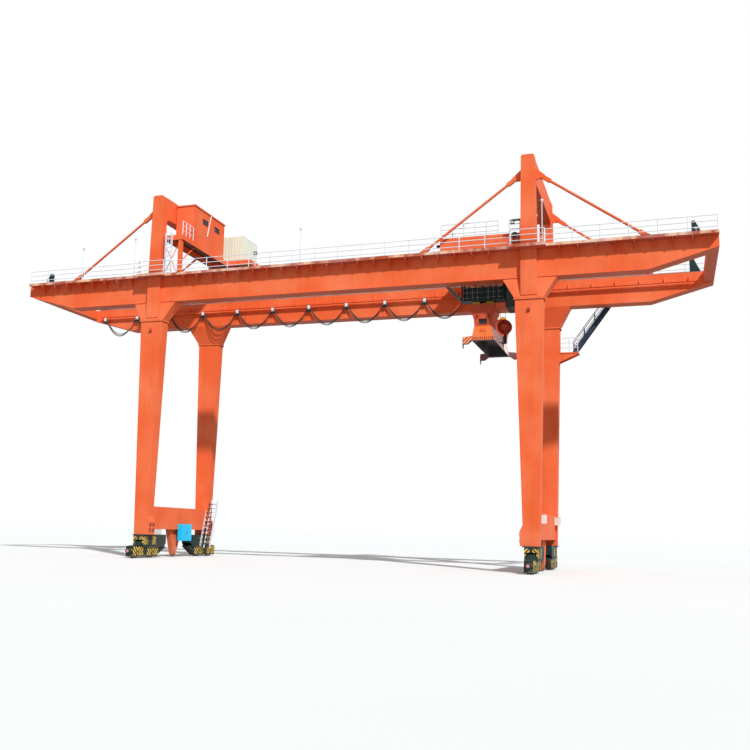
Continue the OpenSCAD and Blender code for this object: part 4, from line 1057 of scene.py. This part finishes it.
def make_spreader_details():
    """Hoods over the rope sheaves, and the ports, panes and plates of the towers and the frame."""
    tower_lo, tower_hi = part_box("rope_towers")
    beam_lo, beam_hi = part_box("spreader_frame")
    dome_r, dome_x, rim_t, rim_half, pin_z = 0.12, 0.21, 0.006, 0.008, tower_hi.z + 0.045
    domes = Build().paint(yellow)
    for sx, sy in CORNERS:
        x = TROLLEY_X + sx * dome_x
        outline, rim = ([(x + r * cos(a), tower_hi.z + r * sin(a)) for a in HALF_TURN]
                        for r in (dome_r, dome_r + rim_t))
        near, far = sorted((sy * (ROPE_Y - 0.055), sy * (tower_hi.y - 0.04)))
        domes.prism(outline, 1, near, far)
        for edge in (near + 0.003, (near + far) / 2, far - 0.003):
            domes.prism(rim, 1, edge - rim_half, edge + rim_half)
        for side, edge in ((-1, near), (1, far)):
            domes.disc((x, edge + side * 0.004, pin_z), (0, side, 0), 0.024, 0.012, 16)
    piece = domes.ride("sheave_domes", "spreader", "yellow_paint")
    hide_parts("sheave_guards")
    ports = Build()
    port_x, port_z = 0.19, tower_lo.z + 0.308
    for sy in SIDES:
        face, beam_face = sy * tower_hi.y, sy * beam_hi.y
        sunk = beam_face - sy * 0.002
        for sx in SIDES:
            at, out = (TROLLEY_X + sx * port_x, face, port_z), (0, sy, 0)
            ports.paint(reel_red).lathe([(0.056, -0.004), (0.056, 0.003), (0.04, 0.003)], at, out, 24)
            ports.paint(red_brown)
            ports.lathe([(0.056, -0.002), (0.056, 0.012), (0.074, 0.012), (0.078, -0.002)], at, out, 24, ring=True)
        ports.paint(glass)
        ports.box((TROLLEY_X - 0.12, face - sy * 0.06, tower_lo.z + 0.072),
                  (TROLLEY_X + 0.12, face - sy * 0.05, tower_lo.z + 0.228), 0.002)
        ports.paint(red_brown)
        for z in (tower_lo.z + 0.06, tower_lo.z + 0.233):
            ports.box((TROLLEY_X - 0.14, face - sy * 0.01, z), (TROLLEY_X + 0.14, face + sy * 0.012, z + 0.01), 0.002)
        ports.paint(orange)
        ports.box((TROLLEY_X - 0.08, sunk, beam_lo.z + 0.36),
                  (TROLLEY_X + 0.1, beam_face + sy * 0.01, beam_lo.z + 0.46), 0.003)
        ports.paint(reel_red)
        for i in range(11):
            x = TROLLEY_X - 0.3 + 0.06 * i
            ports.box((x - 0.014, sunk, beam_lo.z + 0.115),
                      (x + 0.014, beam_face + sy * 0.006, beam_lo.z + 0.2), 0.002)
    ports.ride("tower_ports", "spreader", "red_brown_paint")


def make_reel():
    """Spoked discs with cable turns between them, on its post and bracket."""
    lo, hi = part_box("cable_reel")
    radius, disc_t, spokes, axis = 0.23, 0.014, 8, (0, 1, 0)
    x, z = TROLLEY_X + 0.42, hi.z - radius
    build = Build()
    for y in (0.0, 0.13):
        build.paint(reel_red)
        build.lathe([(radius - 0.03, 0), (radius, 0), (radius, disc_t), (radius - 0.03, disc_t)],
                    (x, y, z), axis, 40, ring=True)
        build.disc((x, y + 0.004, z), axis, radius - 0.028, disc_t - 0.008, 40)
        build.paint(red_brown).disc((x, y, z), axis, 0.095, disc_t, 28)
        hub = Vector((x, y + disc_t / 2, z))
        for a in circle(spokes):
            ahead = Vector((cos(a), 0, sin(a)))
            build.tube([hub + ahead * 0.08, hub + ahead * (radius - 0.02)], 0.01, 6)
    build.paint(reel_red).disc((x, 0.01, z), axis, 0.1, 0.124, 28)
    build.paint(rubber)
    rows, steps = 6, 28
    for layer in range(2):
        turn_r = 0.112 + 0.018 * layer
        for row in range(rows):
            y = 0.026 + 0.019 * row + 0.004 * layer
            ring = [(x + turn_r * cos(a), y, z + turn_r * sin(a)) for a in circle(steps)]
            build.tube(ring, 0.01, 6, closed=True)
    build.paint(dark)
    post_y, post_half, post_foot = (0.143, 0.184), 0.04, lo.z + 0.06
    build.box((x - post_half, post_y[0], post_foot), (x + post_half, post_y[1], z + 0.05), 0.004)
    build.box((TROLLEY_X + 0.305, post_y[0], lo.z), (x + post_half, post_y[1], post_foot + 0.001), 0.004)
    build.disc((x, 0.18, z), axis, 0.05, 0.004, 20)
    piece = build.ride("cable_reel_detail", "spreader", "reel_red_paint")
    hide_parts("cable_reel")


make_spreader_details()
make_reel()


# Bogie details


def make_bogie_details(body):
    """Cap bolts on the axle bosses, and rubber ribs round the buffer."""
    lo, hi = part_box(body)
    place = Vector(joints[body + "_rock"]["pos_m"])
    out = math.copysign(1, place.y)
    ring_r, bolts, ribs, rib_pitch = 0.06, 6, 4, 0.022
    build = Build().paint(dark)
    for sx in SIDES:
        face = place.x + sx * (hi.x - lo.x) / 2
        for dy in (-WHEEL_DY, WHEEL_DY):
            for a in circle(bolts):
                build.bolt((face, place.y + dy + ring_r * cos(a), AXLE_Z + ring_r * sin(a)),
                           (sx, 0, 0), 0.016)
    tip = hi.y if out > 0 else lo.y
    buffer_at = Vector((place.x, tip, BUFFER_Z))
    build.paint(rubber)
    for rib in range(ribs):
        build.lathe([(0.08, -0.088), (0.086, -0.084), (0.086, -0.072), (0.08, -0.068)],
                    buffer_at + Vector((0, out * rib_pitch * rib, 0)), (0, out, 0), 24)
    build.ride("fittings_" + body, body, "hazard_paint")


for body in [name for name in frame["bodies"] if name.startswith("bogie_")]:
    make_bogie_details(body)


# Stage and light

FLOOR_HALF, FLOOR_Z = 300, -0.002
SUN_FROM = Vector((0.88, -1.0, 1.135))
SUN_STRENGTH = 3.5
SUN_ANGLE = math.radians(2.5)
SUN_COLOUR = (1.0, 0.985, 0.93)
FILL, FILL_COLOUR = 0.34, (1.0, 0.97, 0.98, 1)


def make_stage():
    mesh = bpy.data.meshes.new("floor")
    h = FLOOR_HALF
    mesh.from_pydata([(-h, -h, 0), (h, -h, 0), (h, h, 0), (-h, h, 0)], [], [(0, 1, 2, 3)])
    floor = link("floor", mesh)
    floor.location.z = FLOOR_Z
    look = Look("floor_paint", roughness=0.9)
    tone = look.band(look.noise(0.2, 3), 0.3, 0.7)
    shown = look.mix(tone, srgb(241, 246, 250), srgb(243, 248, 252))
    look.give(Base_Color=look.mix(look.seen(), srgb(184, 184, 182), shown))
    mesh.materials.append(look.material)


def make_light():
    sun = bpy.data.lights.new("key", "SUN")
    sun.energy, sun.angle, sun.color = SUN_STRENGTH, SUN_ANGLE, SUN_COLOUR
    key = link("key", sun)
    key.rotation_mode = "QUATERNION"
    key.rotation_quaternion = (-SUN_FROM).to_track_quat("-Z", "Y")
    world = bpy.data.worlds.new("studio")
    world.use_nodes = True
    bpy.context.scene.world = world
    graph, light = Graph(world.node_tree), world.node_tree.nodes["Background"]
    graph.put(light.inputs["Color"], FILL_COLOUR)
    graph.put(light.inputs["Strength"], FILL)
    shown = graph.node("Background", {"Color": (1, 1, 1, 1), "Strength": 1.0})
    both = graph.node("MixShader", {0: graph.seen(), 1: Value(graph, light.outputs[0]), 2: shown})
    graph.put(world.node_tree.nodes["World Output"].inputs["Surface"], both)
    bpy.context.scene.view_settings.view_transform = "Standard"


make_stage()
make_light()
